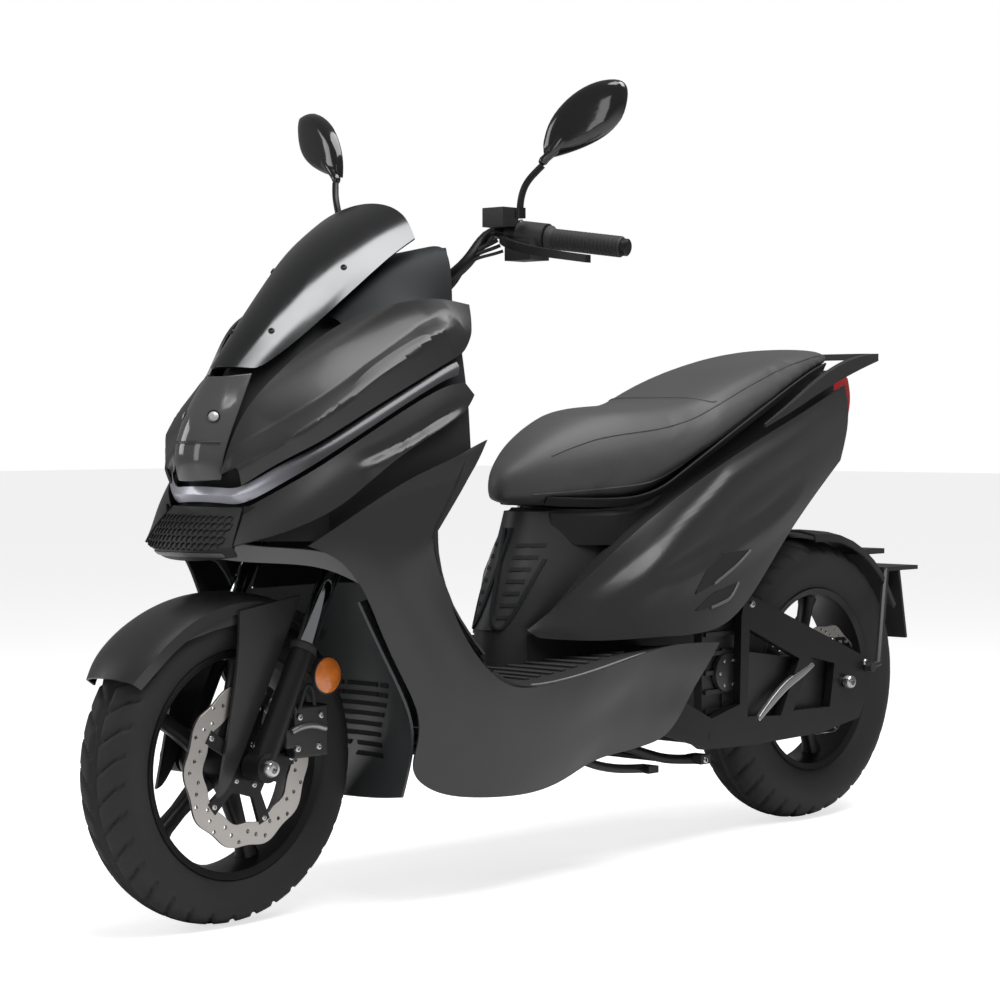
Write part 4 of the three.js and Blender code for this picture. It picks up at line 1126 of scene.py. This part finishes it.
def honeycomb():
    """A honeycomb of thin walls over the nose panel, with a lighter lip under it."""
    low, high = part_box("nose_grille")
    pitch = 11 * MM
    wall = 0.8 * MM
    bm = bmesh.new()
    rows = int((high.z - low.z) * 0.62 / (pitch * 0.866))
    columns = int((high.x - low.x) * 0.9 / pitch)
    for row in range(rows):
        for column in range(columns):
            x = low.x + (high.x - low.x) * 0.05 + pitch * (column + 0.5 * (row % 2))
            z = low.z + (high.z - low.z) * 0.3 + pitch * 0.866 * row
            outer, inner, top, base = [], [], [], []
            for corner in range(6):
                angle = math.radians(30 + 60 * corner)
                for radius, ring, lifted in ((pitch * 0.56, outer, top), (pitch * 0.56 - wall, inner, base)):
                    start = Vector((x + radius * math.cos(angle), low.y - 0.1, z + radius * math.sin(angle)))
                    found = hit("nose_grille", start, (0, 1, 0))
                    if found:
                        ring.append(found[0] - found[1] * 0.0002)
                        lifted.append(found[0] + Vector((0, -0.0026, 0)))
            if len(outer) < 6 or len(inner) < 6:
                continue
            rings = [[bm.verts.new(p) for p in ring] for ring in (outer, top, base, inner)]
            for i in range(6):
                k = (i + 1) % 6
                for a, b in ((0, 1), (1, 2), (2, 3), (3, 0)):
                    bm.faces.new((rings[a][i], rings[a][k], rings[b][k], rings[b][i]))
    from_bmesh("nose_honeycomb", bm, CAST_ALLOY, "chassis", 20)
    lip = [spot("nose_grille", fx, -0.4, 0.14) for fx in (0.1, 0.3, 0.5, 0.7, 0.9)]
    strip_on("nose_lip", "nose_grille", lip, (0, 1, 0), 9 * MM, 0.0008, 0.003, ARCH_TRIM)


def headlight_details():
    """A projector lens on each side of the lamp cover and a bar across it."""
    for side, fx in (("left", 0.8), ("right", 0.2)):
        found = hit("headlight", spot("headlight", fx, -0.5, 0.6), (0, 1, 0))
        if found is None:
            continue
        place, normal = found
        radius = 8 * MM
        bezel = [(radius, -2 * MM), (1.3 * radius, -2 * MM), (1.2 * radius, 1 * MM), (radius, 0.4 * MM)]
        turned(f"lamp_bezel_{side}", ring_profile(bezel), place, normal, BLACK_METAL, "chassis", sides=40)
        dome = [(0, 3 * MM), (0.5 * radius, 2.6 * MM), (0.85 * radius, 1.2 * MM), (radius, -1 * MM), (0, -1.5 * MM)]
        # The lens material carries a faint painted glint.
        turned(f"lamp_lens_{side}", dome, place, normal, LENS_PAINTED_GLINT, "chassis", sides=40)
    bar = [spot("headlight", fx, -0.4, 0.36) for fx in (0.08, 0.3, 0.5, 0.7, 0.92)]
    strip_on("lamp_bar", "headlight", bar, (0, 1, 0), 4 * MM, 0.0004, 0.002, CAST_ALLOY)


def screen_details():
    """Four screws on the windscreen."""
    places = []
    for fx, fz in ((0.8, 0.59), (0.2, 0.59), (0.665, 0.22), (0.335, 0.22)):
        found = hit("windscreen", spot("windscreen", fx, -0.5, fz), (0, 1, 0))
        if found:
            places.append(found)
    screws("screen_screws", places, 5 * MM, BLACK_METAL, "chassis")


def arch_trim():
    """The grey lip that edges the wheel arch, from the nose to beside the fork."""
    for side, s in (("left", 1), ("right", -1)):
        node = f"leg_shield_{side}"
        shares = [(0.19, -0.06, 0.735), (0.30, -0.02, 0.722), (0.52, 0.07, 0.705), (0.66, 0.125, 0.66), (0.75, 0.165, 0.60),
                  (0.80, 0.2, 0.52)]
        outer = []
        for reach, fy, fz in shares:
            p = spot("leg_shield_left", 0, fy, fz)
            p.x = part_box("leg_shield_left")[1].x * reach * 1.0
            outer.append(p)
        outer = even(outer, 20)
        inner = [p + Vector((-16 * MM, -10 * MM, -26 * MM)) * (1 - 0.35 * i / 19) for i, p in enumerate(outer)]
        if s < 0:
            outer, inner = [mirror_x(p) for p in outer], [mirror_x(p) for p in inner]
        ribbon(f"arch_trim_{side}", outer, inner, 0.004, ARCH_TRIM, BODY_OF[node], levels=2)


def floor_mat():
    """Ribs across the floor and a bright edge strip on each side."""
    low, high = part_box("floorboard")
    bars = []
    for i in range(9):
        y = low.y + (high.y - low.y) * (0.3 + 0.5 * i / 8)
        half = high.x * 0.72
        bars.append([Vector((-half, y - 5 * MM, high.z)), Vector((half, y - 5 * MM, high.z)),
                     Vector((half, y + 5 * MM, high.z)), Vector((-half, y + 5 * MM, high.z))])
    inlay("floor_ribs", "floorboard", bars, (0, 0, -1), 0.001, 0.004, RUBBER, cuts=5)
    for s in SIDES:
        line = []
        for i in range(12):
            y = low.y + (high.y - low.y) * (0.2 + 0.78 * i / 11)
            line.append(Vector((s * (high.x - (11 + 8 * (i / 11) ** 2) * MM), y, high.z)))
        strip_on(f"floor_edge_{'left' if s > 0 else 'right'}", "floorboard", line, (0, 0, -1), 5 * MM, 0.001,
                 0.003, SILVER)


def under_seat_details():
    """The U trim and louvres on the front of the seat pedestal."""
    node = "under_seat_panel"
    for s in SIDES:
        shape = [(0.10, 0.86), (0.12, 0.4), (0.16, 0.1), (0.3, 0.02), (0.44, 0.12), (0.6, 0.34), (0.74, 0.6)]
        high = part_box(node)[1]
        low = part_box(node)[0]
        line = [Vector((s * high.x * fx, low.y, low.z + (high.z - low.z) * fz)) for fx, fz in shape]
        strip_on(f"pedestal_trim_{'left' if s > 0 else 'right'}", node, line, (-0.25 * s, 1, 0), 7 * MM, 0.0015,
                 0.004, DASH_SIDE, count=40)
        louvres = []
        for i in range(7):
            z = low.z + (high.z - low.z) * (0.1 + 0.1 * i)
            x0, x1 = high.x * 0.2, high.x * (0.36 + 0.02 * i)
            louvres.append([Vector((s * x0, low.y, z)), Vector((s * x1, low.y, z)),
                            Vector((s * x1, low.y, z + 6 * MM)), Vector((s * x0, low.y, z + 6 * MM))])
        # Each louvre is a flat near-black patch: painted shade in the opening.
        inlay(f"pedestal_louvres_{'left' if s > 0 else 'right'}", node, louvres, (0, 1, 0), 0.0004, 0.002,
              PAINTED_SHADE_BLACK, cuts=2)


def tail_details():
    """The slash vents of each tail fairing, with a lighter lower edge."""
    for side, s in (("left", 1), ("right", -1)):
        node = f"tail_fairing_{side}"
        low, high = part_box("tail_fairing_left")

        def on_side(fy, fz):
            return Vector((s * high.x, low.y + fy * (high.y - low.y), low.z + fz * (high.z - low.z)))
        upper = [on_side(*p) for p in ((0.325, 0.165), (0.362, 0.255), (0.418, 0.32), (0.532, 0.323), (0.487, 0.275),
                                       (0.393, 0.2))]
        lower = [on_side(*p) for p in ((0.324, 0.1), (0.392, 0.163), (0.492, 0.195), (0.46, 0.14), (0.381, 0.107))]
        # The vents are flat near-black patches: painted shade in the openings.
        inlay(f"tail_vents_{side}", node, [upper, lower], (-s, 0, 0), 0.0004, 0.002, PAINTED_SHADE_BLACK, cuts=3)
        edges = {"upper": ((0.393, 0.2), (0.44, 0.237), (0.487, 0.275), (0.532, 0.323)),
                 "lower": ((0.381, 0.107), (0.42, 0.12), (0.46, 0.14), (0.492, 0.195))}
        for tag, shares in edges.items():
            strip_on(f"tail_{tag}_edge_{side}", node, [on_side(*p) for p in shares], (-s, 0, 0), 5 * MM, 0.0016,
                     0.003, ARCH_TRIM)


# ---------------------------------------------------------------- seat
PAD_VOXEL = 6 * MM
PAD_PRESSURE = 4.0
PAD_FRAMES = 20
PAD_LIMIT = 9 * MM


def swell(pad):
    """Inflates the cover like stuffed vinyl, then keeps each point within a limit of where it was."""
    before = [v.co.copy() for v in pad.data.vertices]
    scene = bpy.context.scene
    scene.frame_start, scene.frame_end = 1, PAD_FRAMES
    cloth = pad.modifiers.new("Cover", "CLOTH")
    settings = cloth.settings
    settings.quality = 5
    settings.mass = 0.4
    settings.tension_stiffness = settings.compression_stiffness = 18
    settings.shear_stiffness = 12
    settings.bending_stiffness = 2.5
    settings.use_pressure = True
    settings.uniform_pressure_force = PAD_PRESSURE
    settings.effector_weights.gravity = 0
    cloth.point_cache.frame_start, cloth.point_cache.frame_end = 1, PAD_FRAMES
    for frame_number in range(1, PAD_FRAMES + 1):
        scene.frame_set(frame_number)
    made = bpy.data.meshes.new_from_object(pad.evaluated_get(bpy.context.evaluated_depsgraph_get()))
    pad.modifiers.remove(cloth)
    scene.frame_set(1)
    for vertex, start in zip(made.vertices, before):
        shift = vertex.co - start
        if shift.length > PAD_LIMIT:
            vertex.co = start + shift.normalized() * PAD_LIMIT
    pad.data = made


def seat():
    """The stuffed seat, its side seams, the seam over the step and the base tray under it."""
    bm = clean_copy("seat")
    pad = from_bmesh("seat_cover", bm, VINYL, "seat_base", 180)
    modifier(pad, "SUBSURF", levels=1, render_levels=1)
    modifier(pad, "REMESH", mode="VOXEL", voxel_size=PAD_VOXEL, use_smooth_shade=True)
    made = bpy.data.meshes.new_from_object(pad.evaluated_get(bpy.context.evaluated_depsgraph_get()))
    pad.modifiers.clear()
    pad.data = made
    swell(pad)
    smooth = bmesh.new()
    smooth.from_mesh(pad.data)
    for _ in range(4):
        bmesh.ops.smooth_vert(smooth, verts=smooth.verts, factor=0.5, use_axis_x=True, use_axis_y=True, use_axis_z=True)
    for face in smooth.faces:
        face.smooth = True
    smooth.to_mesh(pad.data)
    smooth.free()
    modifier(pad, "SUBSURF", levels=1, render_levels=1)
    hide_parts("seat")
    seat_seams(pad)
    seat_tray()


def seat_seams(pad):
    """Piped seams along each side and across the step, laid on the finished cover."""
    tree = BVHTree.FromPolygons([v.co.copy() for v in pad.data.vertices],
                                [tuple(p.vertices) for p in pad.data.polygons])
    low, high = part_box("seat")
    length = high.y - low.y

    def outside(y, share, s):
        """A point on the cover's side at a share of the cover's own height there."""
        top = tree.ray_cast(Vector((0, y, high.z + 0.2)), Vector((0, 0, -1)))[0]
        base = tree.ray_cast(Vector((0, y, low.z - 0.2)), Vector((0, 0, 1)))[0]
        if top is None or base is None:
            return None
        z = base.z + share * (top.z - base.z)
        found = tree.ray_cast(Vector((s * 0.5, y, z)), Vector((-s, 0, 0)))[0]
        return found
    for s in SIDES:
        for tag, share, first, last in (("upper", 0.74, 0.1, 0.94), ("lower", 0.2, 0.06, 0.95)):
            points = []
            for i in range(26):
                y = low.y + length * (first + (last - first) * i / 25)
                found = outside(y, share, s)
                if found:
                    points.append(found)
            bent_tube(f"seat_seam_{tag}_{'left' if s > 0 else 'right'}", points, 1.5 * MM, VINYL, "seat_base",
                      resolution=3, sides=3)
    step = []
    for i in range(17):
        angle = math.pi * (i / 16)
        x = 0.9 * high.x * math.cos(angle)
        y = low.y + length * (0.535 - 0.05 * math.sin(angle))
        found = tree.ray_cast(Vector((x * 0.86, y, high.z + 0.2)), Vector((0, 0, -1)))[0]
        if found:
            step.append(found)
    bent_tube("seat_seam_step", step, 1.5 * MM, VINYL, "seat_base", resolution=3, sides=3)


def seat_tray():
    """The edge of the seat base, a band just under the cover, near black: the base's own dark colour deepened into
    painted shade under the cover's overhang.
    """
    low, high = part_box("seat")
    for s in SIDES:
        upper, lower = [], []
        for i in range(24):
            y = low.y + (high.y - low.y) * (0.09 + 0.86 * i / 23)
            under = hit("seat", (0, y, low.z - 0.2), (0, 0, 1))
            if under is None:
                continue
            z = under[0].z + 4 * MM
            side = hit("seat", (s * 0.5, y, z + 4 * MM), (-s, 0, 0))
            if side is None:
                continue
            x = side[0].x - s * 7 * MM
            upper.append(Vector((x, y, z + 6 * MM)))
            lower.append(Vector((x - s * 8 * MM, y, z - 9 * MM)))
        # Near black: painted shade under the cover's overhang.
        ribbon(f"seat_tray_{'left' if s > 0 else 'right'}", upper, lower, 0.004, PAINTED_SHADE_BLACK, "seat_base", levels=1)


# ---------------------------------------------------------------- rear end
def rear_end():
    machined("swing_arm", BLACK_METAL, edge=0.003)
    machined("motor_housing", CAST_ALLOY, edge=0.003)
    skin("shock_body", CAST_ALLOY, edge=0.001, levels=1)
    skin("shock_rod", CHROME, edge=0.001, levels=1)
    gusset()
    motor_details()
    spring()
    rear_caliper()
    hugger_mesh()


def gusset():
    """The curved brace inside each side of the swing arm, in light alloy; its bright colour also stands in for a
    painted highlight on the brace.
    """
    low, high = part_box("swing_arm")
    for side, s in (("left", 1), ("right", -1)):
        shares = [(0.34, 0.16), (0.41, 0.26), (0.5, 0.37), (0.6, 0.45), (0.66, 0.5)]
        points = [Vector((s * (high.x - 4 * MM), low.y + (high.y - low.y) * fy, low.z + (high.z - low.z) * fz))
                  for fy, fz in shares]
        line = even(points, 20)
        above = [p + Vector((0, -3 * MM, (3 + 5 * math.sin(math.pi * i / 19)) * MM)) for i, p in enumerate(line)]
        below = [p - Vector((0, -3 * MM, (3 + 5 * math.sin(math.pi * i / 19)) * MM)) for i, p in enumerate(line)]
        # The light alloy colour also stands in for a painted highlight on the brace.
        ribbon(f"gusset_{side}", above, below, 0.01, LIGHT_ALLOY, "swing", levels=1)
    places = []
    for fy, fz in ((0.035, 0.1), (0.3, 0.95), (0.97, 0.47)):
        for s in SIDES:
            found = hit("swing_arm", spot("swing_arm", 0.5 + s * 1.2, fy, fz), (-s, 0, 0))
            if found:
                places.append(found)
    screws("swing_arm_bolts", places, 7 * MM, ZINC, "swing")


def motor_details():
    """A round cover and its bolts on the outer face of the motor."""
    low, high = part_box("motor_housing")
    for s in SIDES:
        centre = Vector((s * 88 * MM, low.y + 0.14 * (high.y - low.y), low.z + 0.5 * (high.z - low.z)))
        found = hit("motor_housing", centre + Vector((s * 0.3, 0, 0)), (-s, 0, 0))
        if found is None:
            continue
        cover = [(0, 6 * MM), (30 * MM, 6 * MM), (34 * MM, 4 * MM), (36 * MM, -3 * MM), (0, -3 * MM)]
        turned(f"motor_cover_{'left' if s > 0 else 'right'}", cover, found[0], (s, 0, 0), CAST_ALLOY, "swing", sides=48)
        ring = []
        for i in range(6):
            angle = math.pi * i / 3
            ring.append((found[0] + Vector((s * 6 * MM, 25 * MM * math.cos(angle), 25 * MM * math.sin(angle))), (s, 0, 0)))
        screws(f"motor_cover_bolts_{'left' if s > 0 else 'right'}", ring, 3.5 * MM, ZINC, "swing")


def spring():
    """The coil spring round the shock, with a seat at each end."""
    top = Vector(JOINTS["shock_pivot"]["pos_m"])
    down = -Vector(JOINTS["shock_stroke"]["axis"]).normalized()
    turns, wire, radius = 6.5, 3.6 * MM, 27 * MM
    start, length = 60 * MM, 118 * MM
    side = down.orthogonal().normalized()
    other = down.cross(side)
    points = []
    count = int(turns * 16)
    for i in range(count + 1):
        share = i / count
        angle = 2 * math.pi * turns * share
        middle_line = top + down * (start + length * share)
        points.append(middle_line + (side * math.cos(angle) + other * math.sin(angle)) * radius)
    coil = bent_tube("shock_spring", points, wire, SILVER, "shock_upper", resolution=1, sides=4)
    mesh = bpy.data.meshes.new_from_object(coil.evaluated_get(bpy.context.evaluated_depsgraph_get()))
    bpy.data.objects.remove(coil)
    mesh.materials.clear()
    piece = link("shock_coil", mesh, SILVER, "shock_upper")
    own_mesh(piece)
    for tag, at, body in (("top", start - 4 * MM, "shock_upper"), ("foot", start + length + 1 * MM, "shock_lower")):
        cup = [(0, 0), (radius + 5 * MM, 0), (radius + 5 * MM, 3 * MM), (0, 3 * MM)]
        turned(f"spring_seat_{tag}", cup, top + down * at, down, BLACK_METAL, body, sides=40)


def rear_caliper():
    """The rear brake caliper, bolted to the swing arm below the axle."""
    axle = middle("rear_axle")
    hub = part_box("rear_rim")[1].x
    centre = Vector((hub + 6 * MM, axle.y - 62 * MM, axle.z - 70 * MM))
    for tag, size, shift in (("body", Vector((34, 58, 46)), Vector((0, 0, 0))), ("arm", Vector((14, 30, 74)), Vector((14, 30, 26)))):
        bm = bmesh.new()
        bmesh.ops.create_cube(bm, size=1)
        for vertex in bm.verts:
            vertex.co = Vector(vertex.co[i] * size[i] * MM for i in range(3)) + centre + shift * MM
        piece = from_bmesh(f"rear_caliper_{tag}", bm, CAST_ALLOY, "swing", 32)
        modifier(piece, "BEVEL", width=5 * MM, segments=3)
    face = centre + Vector((17 * MM, 0, 0))
    screws("rear_caliper_bolts", [(face + Vector((0, y * MM, z * MM)), (1, 0, 0)) for y, z in ((-18, 10), (18, 10), (0, -12))],
           6 * MM, ZINC, "swing")


def hugger_mesh():
    """A raised lattice on the back of the plate holder."""
    mount = next(m for m in RECORD["mounts"] if m["name"] == "number_plate_face")
    face, out = Vector(mount["pos_m"]), Vector(mount["axis"]).normalized()
    up = Vector((1, 0, 0)).cross(out).normalized()
    up = up if up.z > 0 else -up
    bars = bmesh.new()
    half_width, half_height = 46 * MM, 40 * MM
    wall = 1.2 * MM

    def bar(a, b):
        way = (b - a).normalized()
        across = way.cross(out) * wall
        corners = [a + across, b + across, b - across, a - across]
        back = [bars.verts.new(c) for c in corners]
        front = [bars.verts.new(c + out * 1.4 * MM) for c in corners]
        bars.faces.new(back)
        bars.faces.new(front)
        for i in range(4):
            bars.faces.new((back[i], back[(i + 1) % 4], front[(i + 1) % 4], front[i]))
    side = Vector((1, 0, 0))
    for i in range(9):
        x = half_width * (i / 4 - 1)
        bar(face + side * x - up * half_height, face + side * x + up * half_height)
    for i in range(8):
        z = half_height * (2 * i / 7 - 1)
        bar(face - side * half_width + up * z, face + side * half_width + up * z)
    from_bmesh("plate_lattice", bars, DARK_PLASTIC, "swing", 20)


# ---------------------------------------------------------------- stands
def stands():
    for node, joint in (("side_stand", "side_stand_swing"), ("centre_stand", "centre_stand_swing")):
        skin(node, BLACK_METAL, edge=0.0012, levels=1, limit=62)
        pivot = Vector(JOINTS[joint]["pos_m"])
        low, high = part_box(node)
        if node == "side_stand":
            screws("side_stand_bolt", [(Vector((pivot.x + 9 * MM, pivot.y, pivot.z)), (1, 0, 0))], 9 * MM, ZINC,
                   "side_prop")
        else:
            ends = [(Vector((s * 79 * MM, pivot.y, pivot.z)), (s, 0, 0)) for s in SIDES]
            screws("centre_stand_bolts", ends, 8 * MM, ZINC, "centre_prop")
            feet = [(Vector((s * (high.x - 1 * MM), high.y - 14 * MM, low.z + 9 * MM)), (s, 0, 0)) for s in SIDES]
            screws("centre_stand_feet", feet, 6 * MM, ZINC, "centre_prop")


# ---------------------------------------------------------------- controls
def controls():
    skin("handlebar", BLACK_METAL, edge=0.001, levels=1, limit=62)
    for node in ("left_control_pod", "right_control_pod"):
        skin(node, DARK_PLASTIC, edge=0.0015, levels=1, limit=45)
    for node in ("horn_button", "start_button"):
        skin(node, RED_LENS, edge=0.001, levels=2)
    skin("turn_switch", GLOSS_BLACK, edge=0.001, levels=2)
    for node in ("left_brake_lever", "right_brake_lever"):
        skin(node, BLACK_METAL, edge=0.003, levels=2, limit=60)
    for node in ("left_mirror_arm", "right_mirror_arm"):
        skin(node, BLACK_METAL, edge=0.001, levels=2, limit=62)
    for node in ("left_mirror_head", "right_mirror_head"):
        skin(node, GLOSS_BLACK, edge=0.002, levels=2, limit=50)
    mirror_glass()
    grip("left_grip", "steering")
    grip("throttle_grip", "throttle")
    cables()


def mirror_glass():
    """A thin glass in each mirror head, facing the rider, and the neck between the head and its stalk."""
    for side, s in (("left", 1), ("right", -1)):
        node = f"{side}_mirror_head"
        low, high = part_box(node)
        centre = (low + high) / 2
        rim = []
        for i in range(28):
            angle = 2 * math.pi * i / 28
            way = Vector((math.cos(angle), 0, math.sin(angle)))
            found = tree_of(node).ray_cast(centre, way)[0]
            if found is not None:
                rim.append(centre + (found - centre) * 0.86)
        inlay(f"{side}_mirror_glass", node, [rim], (0, -1, 0), 0.0008, 0.0012, MIRROR, cuts=2)
        tip = Vector(JOINTS[f"{side}_mirror_tilt"]["pos_m"])
        inside = centre - tip
        reach = inside.length * 0.62
        neck = [(0, -7 * MM), (5 * MM, -6 * MM), (7.5 * MM, 0), (7 * MM, 6 * MM), (8 * MM, 0.35 * reach),
                (13 * MM, 0.8 * reach), (9 * MM, reach), (0, reach)]
        turned(f"{side}_mirror_neck", neck, tip, inside, GLOSS_BLACK, BODY_OF[node], sides=32, smooth_below=60)


def grip(node, body):
    """A ribbed rubber grip with a flange and a metal bar-end weight."""
    low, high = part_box(node)
    s = 1 if low.x > 0 else -1
    throttle = Vector(JOINTS["throttle_twist"]["axis"]).normalized()
    way = throttle if s < 0 else mirror_x(throttle)
    bar = Vector(JOINTS["throttle_twist"]["pos_m"])
    root = bar if s < 0 else mirror_x(bar)
    reach = (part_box(node)[1 if s > 0 else 0].x - root.x) / way.x
    start, end, radius, bore = 7 * MM, reach - 3 * MM, 16.5 * MM, 12.1 * MM
    rows = [(bore, start), (radius + 4 * MM, start), (radius + 4 * MM, start + 4 * MM)]
    ribs = 18
    first, last = start + 8 * MM, end - 3 * MM
    for i in range(ribs):
        a = first + (last - first) * i / ribs
        step = (last - first) / ribs
        rows += [(radius, a), (radius, a + 0.55 * step), (radius - 1.2 * MM, a + 0.7 * step),
                 (radius - 1.2 * MM, a + 0.9 * step)]
    rows += [(radius, last), (radius - 2 * MM, end), (bore, end)]
    piece = turned(f"{node}_ribbed", ring_profile(rows), root, way, RUBBER, body, sides=56, smooth_below=50)
    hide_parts(node)
    weight = [(0, 0), (12 * MM, 0), (13.5 * MM, 2 * MM), (13.5 * MM, 9 * MM), (11 * MM, 11 * MM), (0, 11 * MM)]
    turned(f"{node}_weight", weight, root + way * (end - 1 * MM), way, BLACK_METAL, body, sides=40)


def cables():
    """Hoses and cables from each switch pod down to the stem."""
    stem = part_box("steering_stem")
    foot = Vector((0, stem[1].y - 30 * MM, stem[1].z - 60 * MM))
    for side, s in (("left", 1), ("right", -1)):
        low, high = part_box(f"{side}_control_pod")
        inner = low.x if s > 0 else high.x
        for i, (drop, thick) in enumerate(((0, 3.6), (9, 3.0), (18, 2.6))):
            start = Vector((inner + s * (10 + 6 * i) * MM, low.y + 24 * MM, low.z + (34 - drop) * MM))
            bow = Vector((inner - s * (22 + 4 * i) * MM, low.y + (4 - 6 * i) * MM, low.z + (12 - drop) * MM))
            turn = Vector((inner - s * (60 + 3 * i) * MM, low.y - (10 + 6 * i) * MM, low.z - (40 + drop) * MM))
            end = foot + Vector((s * (22 + 7 * i) * MM, 0, -20 * i * MM))
            bent_tube(f"{side}_cable_{i}", [start, bow, turn, end], thick * MM, RUBBER, "steering", resolution=10,
                      sides=3)
        perch = hit(f"{side}_control_pod", spot(f"{side}_control_pod", 0.5, -1, 0.75), (0, 1, 0))
        if perch:
            screws(f"{side}_pod_screw", [perch], 4 * MM, ZINC, "steering")


# ---------------------------------------------------------------- studio
CAMERA_AZIMUTH = math.radians(42.4977)
CAMERA_ELEVATION = math.radians(1.6871)
CAMERA_DISTANCE = 4.3745
CAMERA_AIM = Vector((0, -0.1458, 0.6176))
CAMERA_LENS = 94.85


def area_light(name, place, aim, size, energy, tone=(1, 1, 1)):
    """A rectangular soft box pointing at a spot."""
    light = bpy.data.lights.new(name, "AREA")
    light.shape = "RECTANGLE"
    light.size, light.size_y = size
    light.energy = energy
    light.color = tone
    lamp = bpy.data.objects.new(name, light)
    bpy.context.scene.collection.objects.link(lamp)
    lamp.location = place
    lamp.rotation_mode = "QUATERNION"
    lamp.rotation_quaternion = (Vector(aim) - Vector(place)).to_track_quat("-Z", "Y")


def seen_by_camera(material_or_world):
    """The node output that is one only where the camera looks straight at something."""
    return material_or_world.node_tree.nodes.new("ShaderNodeLightPath").outputs["Is Camera Ray"]


FLOOR_GLOW = 0.7
SURROUND_LIGHT = 0.2


def studio():
    """A pale floor that fades into a white surround, and soft boxes above and beside the machine."""
    floor_mesh = bpy.data.meshes.new("floor")
    reach = 30.0
    corners = [(-reach, -reach, 0), (reach, -reach, 0), (reach, reach, 0), (-reach, reach, 0)]
    floor_mesh.from_pydata(corners, [], [(0, 1, 2, 3)])
    floor = bpy.data.objects.new("floor", floor_mesh)
    floor.location.z = CAD_BOX[0].z - 0.5 * MM
    bpy.context.scene.collection.objects.link(floor)
    material, shader, place = base_material("pale_floor", grey(0.86), 0.6)
    spread_colour(material, shader, noise(material, place, 0.5), grey(0.85), grey(0.88))
    shader.inputs["Emission Color"].default_value = (1, 1, 1, 1)
    dim = material.node_tree.nodes.new("ShaderNodeMath")
    dim.operation = "MULTIPLY"
    dim.inputs[1].default_value = FLOOR_GLOW
    material.node_tree.links.new(seen_by_camera(material), dim.inputs[0])
    material.node_tree.links.new(dim.outputs[0], shader.inputs["Emission Strength"])
    floor_mesh.materials.append(material)
    world = bpy.data.worlds.new("white_surround")
    bpy.context.scene.world = world
    world.use_nodes = True
    background = world.node_tree.nodes["Background"]
    background.inputs["Color"].default_value = (1, 1, 1, 1)
    strength = world.node_tree.nodes.new("ShaderNodeMapRange")
    strength.inputs["To Min"].default_value = SURROUND_LIGHT
    strength.inputs["To Max"].default_value = 1.0
    world.node_tree.links.new(seen_by_camera(world), strength.inputs["Value"])
    world.node_tree.links.new(strength.outputs["Result"], background.inputs["Strength"])
    centre = (CAD_BOX[0] + CAD_BOX[1]) / 2
    area_light("overhead", centre + Vector((0.95, -0.1, 2.4)), centre + Vector((0.2, -0.1, 0.1)), (3.3, 2.2), 130)
    area_light("front_fill", centre + Vector((0.6, -3.8, 0.5)), centre, (1.0, 1.6), 12)
    area_light("right_fill", centre + Vector((-2.6, -2.4, 1.0)), centre, (1.4, 1.6), 22)


def camera():
    lens = bpy.data.cameras.new("photo_view")
    lens.lens = CAMERA_LENS
    eye = bpy.data.objects.new("photo_view", lens)
    bpy.context.scene.collection.objects.link(eye)
    back = Vector((math.sin(CAMERA_AZIMUTH) * math.cos(CAMERA_ELEVATION),
                   -math.cos(CAMERA_AZIMUTH) * math.cos(CAMERA_ELEVATION), math.sin(CAMERA_ELEVATION)))
    eye.location = CAMERA_AIM + back * CAMERA_DISTANCE
    eye.rotation_mode = "QUATERNION"
    eye.rotation_quaternion = (-back).to_track_quat("-Z", "Y")
    lens.clip_start, lens.clip_end = 0.1, 200
    bpy.context.scene.camera = eye


# ---------------------------------------------------------------- assembly
wheels()
fork()
panels()
nose_liner()
tail_core()
cowl_slots()
honeycomb()
headlight_details()
screen_details()
arch_trim()
floor_mat()
under_seat_details()
tail_details()
seat()
rear_end()
stands()
controls()
studio()
camera()

bpy.context.scene.view_settings.view_transform = "Standard"
